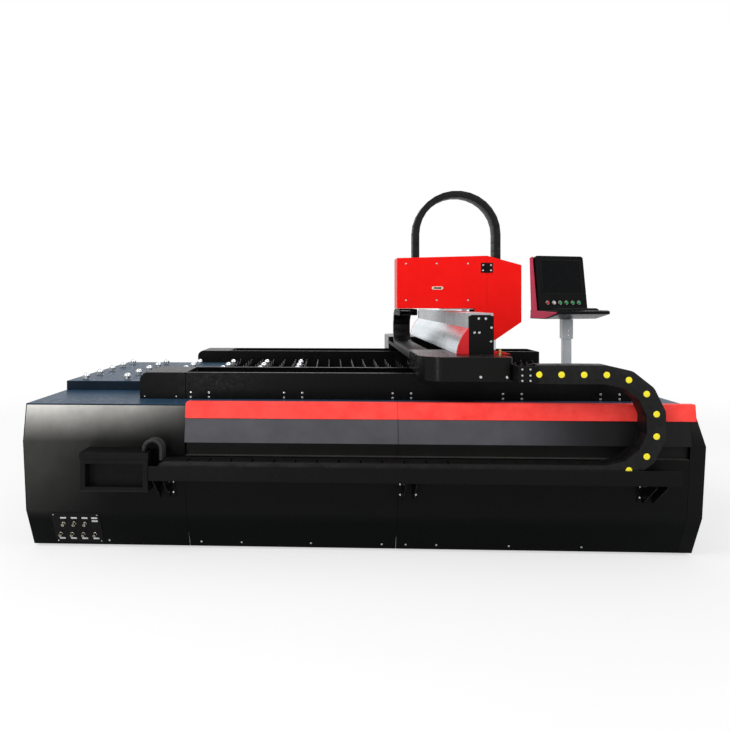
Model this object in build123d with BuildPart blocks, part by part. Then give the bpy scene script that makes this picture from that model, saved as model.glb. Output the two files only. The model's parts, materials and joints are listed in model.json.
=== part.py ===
from build123d import *

import math
import os

os.makedirs("parts", exist_ok=True)

# Axes: X runs along the bed, Y from the operator's side to the back, Z up from the floor.
# The origin is on the floor under the middle of the whole machine. All sizes are in millimetres.

# Bed and its skin
bed_left = -2070
bed_length = 3714
bed_front = -1153
bed_depth = 2468
deck_height = 850
deck_sheet = 8
side_swell = 38
swell_height = 643
skirt_height = 243
skirt_inset = 105
floor_clearance = 14
end_lean = 46
end_cap_length = 37
skin = 4
seam = 1
left_section_length = 920
middle_section_length = 1184
recess_depth = 26
recess_height = 72

# Red stripe and dark fascia along the top of the front
stripe_height = 92
stripe_lip = 19
stripe_proud = 20
stripe_corner_radius = 16
stripe_return = 36
fascia_height = 132
fascia_proud = 17

# Welded frame inside the bed
frame_tube = 120
frame_foot_gap = 60
first_post_inset = 110
foot_pad_side = 90
foot_pad_height = 12
foot_stud_width = 24

# Rail troughs along both sides of the table
trough_front = -951
trough_width = 346
trough_height = 157
trough_wall = 8
trough_floor = 6
trough_lip = 20
trough_length = 2600
trough_lead = 50
trough_end_gap = 2
trough_gap = 1340
cap_length = 275
cap_corner = 47
trough_end_plate = 6
rail_width = 34
rail_height = 38
rail_waist = 11
rail_inset = 110
rack_side = 30
rack_inset = 70

# Slat table and ball transfer units
table_wall = 8
table_wall_height = 45
table_ledge = 27
table_ledge_height = 8
table_inset = 5
deck_lip = 20
slat_thickness = 3
slat_top = 945
slat_teeth = 8
slat_tooth_depth = 34
ball_rows = 6
ball_row_spacing = 278
ball_first_row = -1975
ball_columns = 5
ball_column_spacing = 257.5
ball_shift = 40
ball_radius = 22
ball_centre_height = 22
cup_radius = 25
cup_height = 26
ball_bands = 3
ball_flat = 6
cup_sides = 12
ball_bar_width = 40
ball_bar_height = 20
bar_leg = 16
plate_height = 59
plate_sheet = 6
plate_gap = 20

# Long energy chain in front of the bed
chain_height = 100
chain_width = 110
chain_radius = 262
chain_turn_links = 7
chain_lower_links = 20
chain_upper_links = 3
chain_low_pivot = 521
chain_front = -1325
chain_bend_x = 1107
chain_plate = 8
link_gap = 0.3
bracket_leaf = 6
bracket_reach = 90
tray_left = -1316
tray_right = 1490
tray_sheet = 4
tray_front_lip = 74
tray_back_lip = 26
tray_chain_gap = 6
gusset_depth = 136
gusset_sheet = 6
gusset_spacing = 56
gusset_nose = 14
gusset_places = (-1262, 90, 1390)

# Cable box and hoses at the chain's fixed end
box_left = -1690
box_right = -1320
box_low = 400
box_high = 610
box_proud = 176
box_edge = 12
box_frame = 28
box_recess = 60
lid_sheet = 4
lid_skirt = 30
hose_radius = 11
hose_spacing = 32
hose_rise = 62
hose_reach = 96
hose_inset = 30
hose_bend = 32

# Connector panel on the lower left facet
connector_left = -1930
connector_right = -1653
connector_width = 217
connector_corner = 8
connector_sheet = 3
fitting_radius = 8
fitting_bore = 4
fitting_length = 26
fitting_nut = 11
fitting_nut_height = 8
upper_fitting_start = -72
upper_fitting_spacing = 62
upper_fitting_row = 42
lower_fitting_start = -100
lower_fitting_spacing = 66
lower_fitting_row = -36

# Gantry
carriage_left = 154
carriage_width = 495
carriage_depth = 550
carriage_front = -1225
carriage_low = 991
carriage_high = 1127
carriage_corner = 130
carriage_small_corner = 18
carriage_step = 1015
guide_length = 120
guide_width = 78
guide_top = 922
guide_low = 871
guide_clearance = 0.5
guide_end_inset = 80
guide_margin = 8
trough_clearance = 8
motor_corner = 10
motor_shaft_radius = 12
motor_shaft_length = 18
motor_side = 86
motor_height = 88
motor_inset = 180
beam_left = 455
beam_width = 140
beam_low = 1131
beam_high = 1362
beam_front = -1015
beam_wall = 12
beam_foot = 240
end_plate = 20
end_plate_left = 453
end_plate_width = 141
end_plate_high = 1346
beam_cover_reach = 72
beam_cover_high = 1276
beam_cover_sheet = 3
beam_cover_drop = 44
low_cap_reach = 96
low_cap_high = 1146
cross_rail_face = 24
cross_rail_depth = 20
cross_rail_low = 1176
cross_rail_high = 1326
cross_rail_overlap = 60
cross_rack_face = 24
cross_rack_depth = 22

# Cross energy chain beside the beam
cross_left = 160
cross_width = 130
cross_height = 48
cross_radius = 127
cross_turn_links = 7
cross_lower_links = 17
cross_upper_links = 6
cross_low_pivot = 1096
cross_bend_y = 315
cross_plate = 6
cross_tray_sheet = 3
cross_tray_lip = 22
cross_tray_gap = 3

# Head housing
head_left = 143
head_front = -35
head_depth = 200
head_floor = 1378
head_left_top = 1745
seam_x = 790
seam_top = 1760
head_right = 1037
head_right_top = 1692
head_right_low = 1280
head_tip_x = 850
head_tip_z = 1150
head_drop_left = 704
head_skin = 3
cover_flange = 18
pull_slot_x = 435
pull_slot_z = 1526
pull_slot_length = 60
pull_slot_height = 14
arch_hole_gap = 12
arch_hole_snug = 0.5
arch_hole_depth = 60
barrel_hole_gap = 18
web_gap = 6

# Saddle, Z slide and cutting head
saddle_front = 0
saddle_depth = 130
saddle_plate = 15
saddle_inset = 45
saddle_low = 1158
saddle_block_height = 64
saddle_block_gap = 3
saddle_flange = 9
saddle_rib_drop = 60
z_plate_x = 708
z_plate_low = 1190
z_plate_high = 1590
z_rail_depth = 10
z_rail_width = 20
z_rail_inset = 26
z_rail_end = 10
z_slide_low = 1290
z_slide_high = 1500
z_slide_gap = 0.3
z_slide_side = 5
clamp_height = 60
clamp_wall = 10
barrel_clearance = 0.05
z_arm_sheet = 10
z_arm_width = 50
head_axis_x = 850
head_barrel_radius = 32
nozzle_tip = 1002
nozzle_length = 30
nozzle_cone = 18
nozzle_radius = 13
nozzle_mouth_radius = 4
nozzle_holder_radius = 17
sensor_radius = 25
head_top_height = 40
head_cover_gap = 12
head_cover_width = 80
head_cover_depth = 72

# Arch chain over the head
arch_left_x = 287
arch_right_x = 876
arch_top = 2242
arch_thickness = 48
arch_width = 110
arch_turn_links = 15
arch_plate = 5
arch_left_links = 3
arch_right_links = 5

# Access door hinge
hinge_height = 1672
hinge_leaf_width = 42
hinge_leaf_height = 72
hinge_leaf = 2.5
hinge_pin_radius = 3
hinge_knuckle_radius = 6
hinge_gap = 0.3
pin_clearance = 0.05

# Console
post_reach = 146
post_y = 1190
post_side = 70
post_low = 520
post_top = 1120
sleeve_side = 90
sleeve_wall = 9.9
sleeve_low = 1091
sleeve_high = 1268
swivel_radius = 39
bracket_sheet = 12
bracket_height = 90
bracket_margin = 30
console_turn = 17
console_lean = 8
console_shift = -40
front_v = -20
tray_width = 530
tray_depth = 410
tray_flat = 230
tray_lip = 8
tray_edge = 20
tray_low = 1273
tray_high = 1350
tray_front_height = 24
monitor_width = 499
monitor_low = 1352
monitor_high = 1841
monitor_depth = 105
monitor_top_depth = 69
monitor_foot_extra = 12
monitor_top_drop = 12
monitor_corner = 24
screen_width = 400
screen_height = 300
screen_recess = 4
screen_up = 150
trim_thickness = 8
trim_inset = 6
trim_setback = 22
button_count = 6
button_spacing = 65
button_radius = 14
button_stem_radius = 9
button_clearance = 0.06
button_cap = 7
button_gap = 5
button_travel = 4
button_up = 64
button_depth = 22

# Places worked out from the sizes above
bed_right = bed_left + bed_length
post_x = bed_right + post_reach
bed_rear = bed_front + bed_depth
bed_middle_y = (bed_front + bed_rear) / 2
deck_under = deck_height - deck_sheet
cap_start = bed_right - end_cap_length
left_seam = bed_left + left_section_length
middle_seam = left_seam + middle_section_length
trough_left = left_seam - trough_lead
trough_right = trough_left + trough_length
trough_back = trough_front + trough_width
rear_trough_front = trough_back + trough_gap
rear_trough_back = rear_trough_front + trough_width
trough_top = deck_height + trough_height
table_middle_y = (trough_back + rear_trough_front) / 2
plate_top = deck_height + plate_height
carriage_right = carriage_left + carriage_width
carriage_back = carriage_front + carriage_depth
rear_carriage_back = 2 * table_middle_y - carriage_front
rear_carriage_front = rear_carriage_back - carriage_depth
beam_right = beam_left + beam_width
beam_back = 2 * table_middle_y - beam_front
chain_back = chain_front + chain_width
chain_high_pivot = chain_low_pivot + 2 * chain_radius
chain_bend_z = chain_low_pivot + chain_radius
cross_high_pivot = cross_low_pivot + 2 * cross_radius
cross_bend_z = cross_low_pivot + cross_radius
head_back = head_front + head_depth


def turn_pitch(radius, count):
    """The pivot spacing with which a number of links makes a half turn."""
    return 2 * radius * math.sin(math.pi / 2 / count)


chain_pitch = turn_pitch(chain_radius, chain_turn_links)
cross_pitch = turn_pitch(cross_radius, cross_turn_links)
chain_fixed_x = chain_bend_x - chain_lower_links * chain_pitch
chain_pull_x = chain_bend_x - chain_upper_links * chain_pitch
cross_fixed_y = cross_bend_y - cross_lower_links * cross_pitch
cross_pull_y = cross_bend_y - cross_upper_links * cross_pitch


def block(low, high, mode=Mode.ADD):
    """A rectangular block between two corners."""
    middle = tuple((a + b) / 2 for a, b in zip(low, high))
    with Locations(middle):
        Box(*(b - a for a, b in zip(low, high)), mode=mode)


def push(plane, points, length, mode=Mode.ADD):
    """A closed outline of straight runs, drawn on a plane and pushed along its normal."""
    with BuildSketch(plane) as outline:
        with BuildLine():
            Polyline(*points, close=True)
        make_face()
    extrude(outline.sketch, amount=length, mode=mode)


def facing_front(y):
    """A plane at one depth, drawn in X and Z, whose normal points at the operator's side."""
    return Plane.XZ.offset(-y)


def facing_right(x):
    """A plane at one place along the bed, drawn in Y and Z, whose normal points along +X."""
    return Plane.YZ.offset(x)


def folded(points, thickness):
    """The closed outline of a folded sheet: a run of points and the same run moved to its left."""
    normals = []
    for (ax, ay), (bx, by) in zip(points, points[1:]):
        run = math.hypot(bx - ax, by - ay)
        normals.append((-(by - ay) / run, (bx - ax) / run))
    inner = []
    for i, (x, y) in enumerate(points):
        before = normals[max(i - 1, 0)]
        after = normals[min(i, len(normals) - 1)]
        scale = thickness / (1 + before[0] * after[0] + before[1] * after[1])
        inner.append((x + (before[0] + after[0]) * scale, y + (before[1] + after[1]) * scale))
    return list(points) + inner[::-1]


def level(points, height):
    """Where a run of (y, z) points that goes steadily down is at a height."""
    for (ay, az), (by, bz) in zip(points, points[1:]):
        if bz <= height <= az and az > bz:
            return ay + (by - ay) * (az - height) / (az - bz)
    return points[-1][0]


def across_bed(points):
    """The same run of (y, z) points on the other long side of the bed."""
    return [(2 * bed_middle_y - y, z) for y, z in points]


def across_table(y):
    """The place that mirrors a Y over the middle of the table."""
    return 2 * table_middle_y - y


def finish(part, name):
    """Labels a finished piece and writes it."""
    part.label = name
    export_step(part, f"parts/{name}.step")


plain_front = [
    (bed_front, deck_under),
    (bed_front - side_swell, swell_height),
    (bed_front, skirt_height),
    (bed_front + skirt_inset, floor_clearance),
]
recess_back = bed_front - side_swell + recess_depth
recess_low = swell_height - recess_height
recessed_front = [
    (bed_front, deck_under),
    (bed_front - side_swell, swell_height),
    (recess_back, swell_height - 1),
    (recess_back, recess_low + 1),
    (level(plain_front, recess_low), recess_low),
    (bed_front, skirt_height),
    (bed_front + skirt_inset, floor_clearance),
]
bed_section = plain_front + across_bed(plain_front)[::-1]

# Welded tube frame
post_places = (
    bed_left + first_post_inset,
    trough_left - frame_tube / 2,
    (trough_left + trough_right) / 2,
    trough_right + frame_tube / 2,
)
frame_sides = (
    trough_front + trough_width / 2,
    rear_trough_front + trough_width / 2,
)
half_tube = frame_tube / 2
frame_start = bed_left + skin + 1
frame_end = cap_start
frame_low_top = frame_foot_gap + frame_tube
frame_high_low = deck_under - frame_tube
with BuildPart() as bed_frame:
    for side in frame_sides:
        near = side - half_tube
        far = side + half_tube
        block((frame_start, near, frame_foot_gap), (frame_end, far, frame_low_top))
        block((frame_start, near, frame_high_low), (frame_end, far, deck_under))
        for x in post_places:
            block((x - half_tube, near, frame_low_top), (x + half_tube, far, frame_high_low))
    for x in post_places:
        block((x - half_tube, frame_sides[0], frame_foot_gap), (x + half_tube, frame_sides[1], frame_low_top))
    for x in (post_places[0], post_places[1], post_places[3]):
        block((x - half_tube, frame_sides[0], frame_high_low), (x + half_tube, frame_sides[1], deck_under))
finish(bed_frame.part, "bed_frame")

with BuildPart() as levelling_feet:
    for x in post_places:
        for side in frame_sides:
            block(
                (x - foot_pad_side / 2, side - foot_pad_side / 2, 0),
                (x + foot_pad_side / 2, side + foot_pad_side / 2, foot_pad_height),
            )
            block(
                (x - foot_stud_width / 2, side - foot_stud_width / 2, foot_pad_height),
                (x + foot_stud_width / 2, side + foot_stud_width / 2, frame_foot_gap),
            )
finish(levelling_feet.part, "levelling_feet")

# Side skins
panel_start = bed_left + skin + seam
with BuildPart() as front_panels:
    push(facing_right(panel_start), folded(plain_front, skin), left_seam - seam - panel_start)
    push(facing_right(left_seam), folded(recessed_front, skin), middle_section_length - seam)
    push(facing_right(middle_seam), folded(recessed_front, skin), cap_start - seam - middle_seam)
finish(front_panels.part, "front_panels")

rear_run = across_bed(plain_front)[::-1]
rear_length = (cap_start - seam - panel_start) / 3
with BuildPart() as rear_panels:
    for i in range(3):
        push(facing_right(panel_start + i * rear_length), folded(rear_run, skin), rear_length - seam)
finish(rear_panels.part, "rear_panels")

with BuildPart() as end_panels:
    push(facing_right(cap_start), bed_section, end_cap_length + end_lean)
    push(
        facing_front(bed_rear + side_swell + 1),
        [
            (bed_right, deck_under + 1),
            (bed_right, deck_under),
            (bed_right + end_lean, swell_height),
            (bed_right + 2 * end_lean, swell_height),
            (bed_right + 2 * end_lean, deck_under + 1),
        ],
        bed_depth + 2 * side_swell + 2,
        mode=Mode.SUBTRACT,
    )
    offset(amount=-skin, openings=faces().sort_by(Axis.X)[0])
    push(facing_right(bed_left), bed_section, skin)
finish(end_panels.part, "end_panels")

opening_front = trough_back + deck_lip
opening_back = rear_trough_front - deck_lip
opening_left = trough_left + deck_lip
opening_right = trough_right - deck_lip
with BuildPart() as deck_plate:
    block((bed_left, bed_front, deck_under), (bed_right, bed_rear, deck_height))
    block(
        (opening_left, opening_front, deck_under - 1),
        (opening_right, opening_back, deck_height + 1),
        mode=Mode.SUBTRACT,
    )
finish(deck_plate.part, "deck_plate")

# Red stripe over a dark fascia, each in two lengths with a seam over the panel seam
stripe_top = deck_height + stripe_lip
stripe_bottom = stripe_top - stripe_height
fascia_bottom = stripe_bottom - fascia_height
skin_gap = 0.3
stripe_low_back = level(plain_front, stripe_bottom)
fascia_low_back = level(plain_front, fascia_bottom)
stripe_outline = [
    (stripe_low_back - stripe_proud, stripe_bottom),
    (bed_front - stripe_proud, stripe_top),
    (bed_front - stripe_proud + stripe_return, stripe_top),
    (bed_front - stripe_proud + stripe_return, deck_height),
    (bed_front - skin_gap, deck_height),
    (bed_front - skin_gap, deck_under),
    (stripe_low_back - skin_gap, stripe_bottom),
]
with BuildPart() as front_stripes:
    push(facing_right(left_seam), stripe_outline, middle_section_length - seam)
    corner = front_stripes.edges().filter_by(Axis.Y).group_by(Axis.Z)[-1].sort_by(Axis.X)[0]
    fillet(corner, stripe_corner_radius)
    push(facing_right(middle_seam), stripe_outline, bed_right - middle_seam)
finish(front_stripes.part, "front_stripes")

fascia_outline = [
    (stripe_low_back - fascia_proud, stripe_bottom - seam),
    (stripe_low_back - skin_gap, stripe_bottom - seam),
    (fascia_low_back - skin_gap, fascia_bottom),
    (fascia_low_back - fascia_proud, fascia_bottom),
]
with BuildPart() as front_fascia:
    push(facing_right(left_seam), fascia_outline, middle_section_length - seam)
    push(facing_right(middle_seam), fascia_outline, cap_start - seam - middle_seam)
finish(front_fascia.part, "front_fascia")

# Rail troughs: open-topped channels with inward lips, closed by caps at the loading end
trough_section = [
    (0, 0),
    (trough_width, 0),
    (trough_width, trough_height),
    (trough_width - trough_wall - trough_lip, trough_height),
    (trough_width - trough_wall - trough_lip, trough_height - trough_floor),
    (trough_width - trough_wall, trough_height - trough_floor),
    (trough_width - trough_wall, trough_floor),
    (trough_wall, trough_floor),
    (trough_wall, trough_height - trough_floor),
    (trough_wall + trough_lip, trough_height - trough_floor),
    (trough_wall + trough_lip, trough_height),
    (0, trough_height),
]
with BuildPart() as rail_troughs:
    for front in (trough_front, rear_trough_front):
        outline = [(front + y, deck_height + z) for y, z in trough_section]
        push(facing_right(trough_left), outline, trough_length)
finish(rail_troughs.part, "rail_troughs")

with BuildPart() as trough_end_caps:
    for front in (trough_front, rear_trough_front):
        block(
            (trough_left - seam - cap_length, front, deck_height),
            (trough_left - seam, front + trough_width, trough_top),
        )
    corners = trough_end_caps.edges().filter_by(Axis.Y).group_by(Axis.Z)[-1].group_by(Axis.X)[0]
    fillet(corners, cap_corner)
    for front in (trough_front, rear_trough_front):
        block(
            (trough_right, front, deck_height),
            (trough_right + trough_end_plate, front + trough_width, trough_top),
        )
finish(trough_end_caps.part, "trough_end_caps")

rail_start = trough_left + trough_end_gap
rail_end = trough_right - trough_end_gap
rail_places = (trough_front + rail_inset, across_table(trough_front + rail_inset))
trough_bed = deck_height + trough_floor
half_rail = rail_width / 2
rail_section = [
    (-half_rail, 0),
    (half_rail, 0),
    (half_rail, rail_height * 0.25),
    (rail_waist, rail_height * 0.45),
    (half_rail, rail_height * 0.65),
    (half_rail, rail_height),
    (-half_rail, rail_height),
    (-half_rail, rail_height * 0.65),
    (-rail_waist, rail_height * 0.45),
    (-half_rail, rail_height * 0.25),
]
with BuildPart() as x_rails:
    for place in rail_places:
        outline = [(place + y, trough_bed + z) for y, z in rail_section]
        push(facing_right(rail_start), outline, rail_end - rail_start)
finish(x_rails.part, "x_rails")

rack_places = (trough_back - rack_inset, across_table(trough_back - rack_inset))
with BuildPart() as x_racks:
    for place in rack_places:
        block(
            (rail_start, place - rack_side / 2, trough_bed),
            (rail_end, place + rack_side / 2, trough_bed + rack_side),
        )
finish(x_racks.part, "x_racks")

# Slat table: a frame on the deck's lip, with bars that carry the ball units
table_left = trough_left + table_inset
table_right = trough_right - table_inset
table_front = trough_back + table_inset
table_back = rear_trough_front - table_inset
ledge_top = deck_height + table_ledge_height
bar_places = [ball_first_row + ball_row_spacing * i for i in range(3, ball_rows)]
with BuildPart() as slat_frame:
    block((table_left, table_front, deck_height), (table_right, table_back, deck_height + table_wall_height))
    block(
        (table_left + table_wall, table_front + table_wall, ledge_top),
        (table_right - table_wall, table_back - table_wall, deck_height + table_wall_height + 1),
        mode=Mode.SUBTRACT,
    )
    inward = table_wall + table_ledge
    block(
        (table_left + inward, table_front + inward, deck_height - 1),
        (table_right - inward, table_back - inward, ledge_top),
        mode=Mode.SUBTRACT,
    )
    for x in bar_places:
        block(
            (x - ball_bar_width / 2, table_front + table_wall, plate_top - ball_bar_height),
            (x + ball_bar_width / 2, table_back - table_wall, plate_top),
        )
        for low, high in (
            (table_front, table_front + table_wall + bar_leg),
            (table_back - table_wall - bar_leg, table_back),
        ):
            block(
                (x - ball_bar_width / 2, low, deck_height + table_ledge_height),
                (x + ball_bar_width / 2, high, plate_top),
            )
finish(slat_frame.part, "slat_frame")

slat_start = table_front + table_wall + 1
slat_end = table_back - table_wall - 1
tooth_pitch = (slat_end - slat_start) / slat_teeth
slat_outline = [(slat_start, ledge_top), (slat_end, ledge_top)]
for i in range(slat_teeth, 0, -1):
    slat_outline.append((slat_start + i * tooth_pitch, slat_top - slat_tooth_depth))
    slat_outline.append((slat_start + (i - 0.5) * tooth_pitch, slat_top))
slat_outline.append((slat_start, slat_top - slat_tooth_depth))
slat_spacing = ball_row_spacing / 3
slat_first = bar_places[0] + slat_spacing / 2
slat_count = int((table_right - table_wall - slat_thickness - slat_first) // slat_spacing) + 1
with BuildPart() as cutting_slats:
    for i in range(slat_count):
        push(facing_right(slat_first + i * slat_spacing - slat_thickness / 2), slat_outline, slat_thickness)
finish(cutting_slats.part, "cutting_slats")

# Raised plate at the loading end
with BuildPart() as ball_plate:
    block(
        (bed_left, trough_back + plate_gap, deck_height),
        (trough_left - seam, rear_trough_front - plate_gap, plate_top),
    )
    offset(amount=-plate_sheet, openings=faces().sort_by(Axis.Z)[0])
finish(ball_plate.part, "ball_plate")

# Ball transfer units: a cup with its ball standing proud of it, both in flats because they are so many
cap_angle = math.asin((cup_height - ball_centre_height) / ball_radius)
dome = []
for i in range(ball_bands + 1):
    angle = cap_angle + (math.pi / 2 - cap_angle) * i / ball_bands
    dome.append((ball_radius * math.cos(angle), ball_centre_height + ball_radius * math.sin(angle)))
dome[-1] = (ball_flat, ball_centre_height + ball_radius)
with BuildPart() as ball_unit:
    with BuildSketch():
        RegularPolygon(cup_radius, cup_sides)
    extrude(amount=cup_height)
    for (low_radius, low_z), (high_radius, high_z) in zip(dome, dome[1:]):
        with BuildSketch(Plane.XY.offset(low_z)):
            RegularPolygon(low_radius, cup_sides)
        with BuildSketch(Plane.XY.offset(high_z)):
            RegularPolygon(high_radius, cup_sides)
        loft(ruled=True)
first_column = table_middle_y - ball_shift - ball_column_spacing * (ball_columns - 1) / 2
ball_places = [
    (ball_first_row + ball_row_spacing * i, first_column + ball_column_spacing * j, plate_top)
    for i in range(ball_rows)
    for j in range(ball_columns)
]
with BuildPart() as ball_transfer_units:
    with Locations(*ball_places):
        add(ball_unit.part)
finish(ball_transfer_units.part, "ball_transfer_units")

# Chain tray with its gussets, welded as one piece
tray_front = chain_front - tray_chain_gap - tray_sheet
tray_floor_top = chain_low_pivot - chain_height / 2 - skin_gap
tray_floor_low = tray_floor_top - tray_sheet
tray_back_edge = chain_back + tray_chain_gap
tray_run = [
    (tray_front, tray_floor_top + tray_front_lip),
    (tray_front, tray_floor_low),
    (tray_back_edge + tray_sheet, tray_floor_low),
    (tray_back_edge + tray_sheet, tray_floor_top + tray_back_lip),
]
gusset_top_back = level(plain_front, tray_floor_low) - skin_gap
gusset_low = tray_floor_low - gusset_depth
gusset_outline = [
    (tray_front + tray_sheet, tray_floor_low),
    (gusset_top_back, tray_floor_low),
    (level(plain_front, gusset_low) - skin_gap, gusset_low),
    (level(plain_front, gusset_low) - skin_gap - gusset_nose, gusset_low),
    (tray_front + tray_sheet, tray_floor_low - gusset_nose),
]
gusset_foot = [
    (gusset_top_back, tray_floor_low),
    (level(plain_front, gusset_low) - skin_gap, gusset_low),
    (level(plain_front, gusset_low) - skin_gap - gusset_sheet, gusset_low),
    (gusset_top_back - gusset_sheet, tray_floor_low),
]
with BuildPart() as chain_tray:
    push(facing_right(tray_left), folded(tray_run, tray_sheet), tray_right - tray_left)
    for x in gusset_places:
        for side in (-1, 1):
            place = x + side * gusset_spacing / 2 - gusset_sheet / 2
            push(facing_right(place), gusset_outline, gusset_sheet)
        push(facing_right(x - gusset_spacing), gusset_foot, 2 * gusset_spacing)
finish(chain_tray.part, "chain_tray")


def make_link(pitch, height, width, plate, count):
    """One hollow link between two pivots, its ends cut back so that it can turn on them."""
    reach = pitch / 2 - link_gap
    shoulder = reach - height / 2 * math.tan(math.pi / 2 / count) - 1
    with BuildPart() as link:
        push(
            facing_front(width / 2),
            [
                (-reach, 0),
                (-shoulder, -height / 2),
                (shoulder, -height / 2),
                (reach, 0),
                (shoulder, height / 2),
                (-shoulder, height / 2),
            ],
            width,
        )
        block(
            (-pitch, -width / 2 + plate, -height / 2 + plate),
            (pitch, width / 2 - plate, height / 2 - plate),
            mode=Mode.SUBTRACT,
        )
    return link.part


def run_of_links(start, along, out, pitch, count):
    """The places of links one after another on a straight run."""
    return [Plane(origin=start + along * (pitch * (i + 0.5)), x_dir=along, z_dir=out) for i in range(count)]


def turn_of_links(centre, axis, radius, count, first_angle):
    """The places of links on a half turn that starts at an angle from an axis, rising with Z."""
    up = Vector(0, 0, 1)
    step = math.pi / count
    places = []
    for i in range(count):
        angle = math.radians(first_angle) + (i + 0.5) * step
        out = axis * math.cos(angle) + up * math.sin(angle)
        along = up * math.cos(angle) - axis * math.sin(angle)
        places.append(Plane(origin=centre + out * (radius * math.cos(step / 2)), x_dir=along, z_dir=out))
    return places


x_axis = Vector(1, 0, 0)
y_axis = Vector(0, 1, 0)
z_axis = Vector(0, 0, 1)
chain_middle_y = (chain_front + chain_back) / 2
long_link = make_link(chain_pitch, chain_height, chain_width, chain_plate, chain_turn_links)
with BuildPart() as x_chain_lower:
    start = Vector(chain_fixed_x, chain_middle_y, chain_low_pivot)
    with Locations(*run_of_links(start, x_axis, z_axis, chain_pitch, chain_lower_links)):
        add(long_link)
finish(x_chain_lower.part, "x_chain_lower")

with BuildPart() as x_chain_bend:
    centre = Vector(chain_bend_x, chain_middle_y, chain_bend_z)
    with Locations(*turn_of_links(centre, x_axis, chain_radius, chain_turn_links, -90)):
        add(long_link)
finish(x_chain_bend.part, "x_chain_bend")

with BuildPart() as x_chain_upper:
    start = Vector(chain_pull_x, chain_middle_y, chain_high_pivot)
    with Locations(*run_of_links(start, x_axis, z_axis, chain_pitch, chain_upper_links)):
        add(long_link)
finish(x_chain_upper.part, "x_chain_upper")

# Angle bracket that pulls the upper run: a leaf on the carriage and a plate behind the chain
bracket_half = chain_height / 2 - bracket_leaf
with BuildPart() as x_chain_bracket:
    block(
        (carriage_right, chain_front, chain_high_pivot - bracket_half),
        (carriage_right + bracket_leaf, carriage_front + bracket_reach, chain_high_pivot + bracket_half),
    )
    block(
        (carriage_right, chain_front, chain_high_pivot - bracket_half),
        (chain_pull_x - link_gap, chain_front + bracket_leaf, chain_high_pivot + bracket_half),
    )
    block(
        (carriage_right, chain_front, chain_high_pivot - bracket_half),
        (chain_pull_x - link_gap, chain_back, chain_high_pivot - bracket_half + bracket_leaf),
    )
finish(x_chain_bracket.part, "x_chain_bracket")

# Cable box against the front skin, and the hoses from it into the fixed end of the chain
box_front = bed_front - box_proud
box_outline = [
    (box_front + box_edge, box_high),
    (box_front, box_high - box_edge),
    (box_front, box_low + box_edge),
    (box_front + box_edge, box_low),
    (level(plain_front, box_low) - skin_gap, box_low),
    (level(plain_front, box_high) - skin_gap, box_high),
]
lid_outline = [
    (box_front - lid_sheet, box_high - lid_skirt),
    (box_front - lid_sheet, box_high + lid_sheet),
    (level(plain_front, box_high) - skin_gap - lid_sheet, box_high + lid_sheet),
    (level(plain_front, box_high) - skin_gap - lid_sheet, box_high),
    (box_front + box_edge, box_high),
    (box_front, box_high - box_edge),
    (box_front, box_high - lid_skirt),
]
with BuildPart() as cable_box:
    push(facing_right(box_left), box_outline, box_right - box_left)
    block(
        (box_left + box_frame, box_front - 1, box_low + box_frame),
        (box_right - box_frame, box_front + box_recess, box_high - box_frame - lid_skirt),
        mode=Mode.SUBTRACT,
    )
    push(facing_right(box_left - lid_sheet), lid_outline, box_right - box_left + 2 * lid_sheet)
finish(cable_box.part, "cable_box")

hose_start_x = box_right - hose_inset
hose_start_z = box_high + lid_sheet
hose_end_x = hose_start_x + hose_reach
with BuildPart() as chain_hoses:
    for i in (-1, 0, 1):
        y = chain_middle_y + i * hose_spacing
        with BuildLine() as hose_path:
            Polyline(
                (hose_start_x, y, hose_start_z),
                (hose_start_x, y, hose_start_z + hose_rise - hose_bend),
                (hose_start_x + hose_bend, y, hose_start_z + hose_rise),
                (hose_end_x - hose_bend, y, hose_start_z + hose_rise),
                (hose_end_x, y, hose_start_z + hose_rise - hose_bend),
                (hose_end_x, y, chain_low_pivot + chain_height / 2 + 1),
            )
        with BuildSketch(Plane(origin=(hose_start_x, y, hose_start_z), z_dir=(0, 0, 1))):
            RegularPolygon(hose_radius, 6)
        sweep(path=hose_path.line, transition=Transition.RIGHT)
finish(chain_hoses.part, "chain_hoses")

# Connector panel flat on the lower left facet, with its fittings
facet_run = math.hypot(skirt_inset, skirt_height - floor_clearance)
facet_out = Vector(0, -(skirt_height - floor_clearance), -skirt_inset) * (1 / facet_run)
facet_middle = Vector(
    (connector_left + connector_right) / 2,
    bed_front + skirt_inset / 2,
    (skirt_height + floor_clearance) / 2,
)
connector_length = connector_right - connector_left
connector_face = Plane(origin=facet_middle, x_dir=x_axis, z_dir=facet_out)
with BuildPart() as connector_panel:
    with BuildSketch(connector_face):
        RectangleRounded(connector_length, connector_width, connector_corner)
    extrude(amount=connector_sheet)
finish(connector_panel.part, "connector_panel")

upper_fittings = [(upper_fitting_start + upper_fitting_spacing * i, upper_fitting_row) for i in range(3)]
lower_fittings = [(lower_fitting_start + lower_fitting_spacing * i, lower_fitting_row) for i in range(4)]
fitting_face = connector_face.offset(connector_sheet)
with BuildPart() as gas_fittings:
    with BuildSketch(fitting_face):
        with Locations(*upper_fittings, *lower_fittings):
            RegularPolygon(fitting_nut, 6)
    extrude(amount=fitting_nut_height)
    with BuildSketch(fitting_face.offset(fitting_nut_height)):
        with Locations(*upper_fittings, *lower_fittings):
            Circle(fitting_radius)
    extrude(amount=fitting_length - fitting_nut_height)
    with BuildSketch(fitting_face.offset(fitting_nut_height)):
        with Locations(*upper_fittings, *lower_fittings):
            Circle(fitting_bore)
    extrude(amount=fitting_length, mode=Mode.SUBTRACT)
finish(gas_fittings.part, "gas_fittings")

# Gantry carriages: welded boxes that reach over the trough and down to the guide blocks
leg_width = guide_width - guide_margin
guide_places = (carriage_left + guide_end_inset, carriage_right - guide_end_inset)


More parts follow.
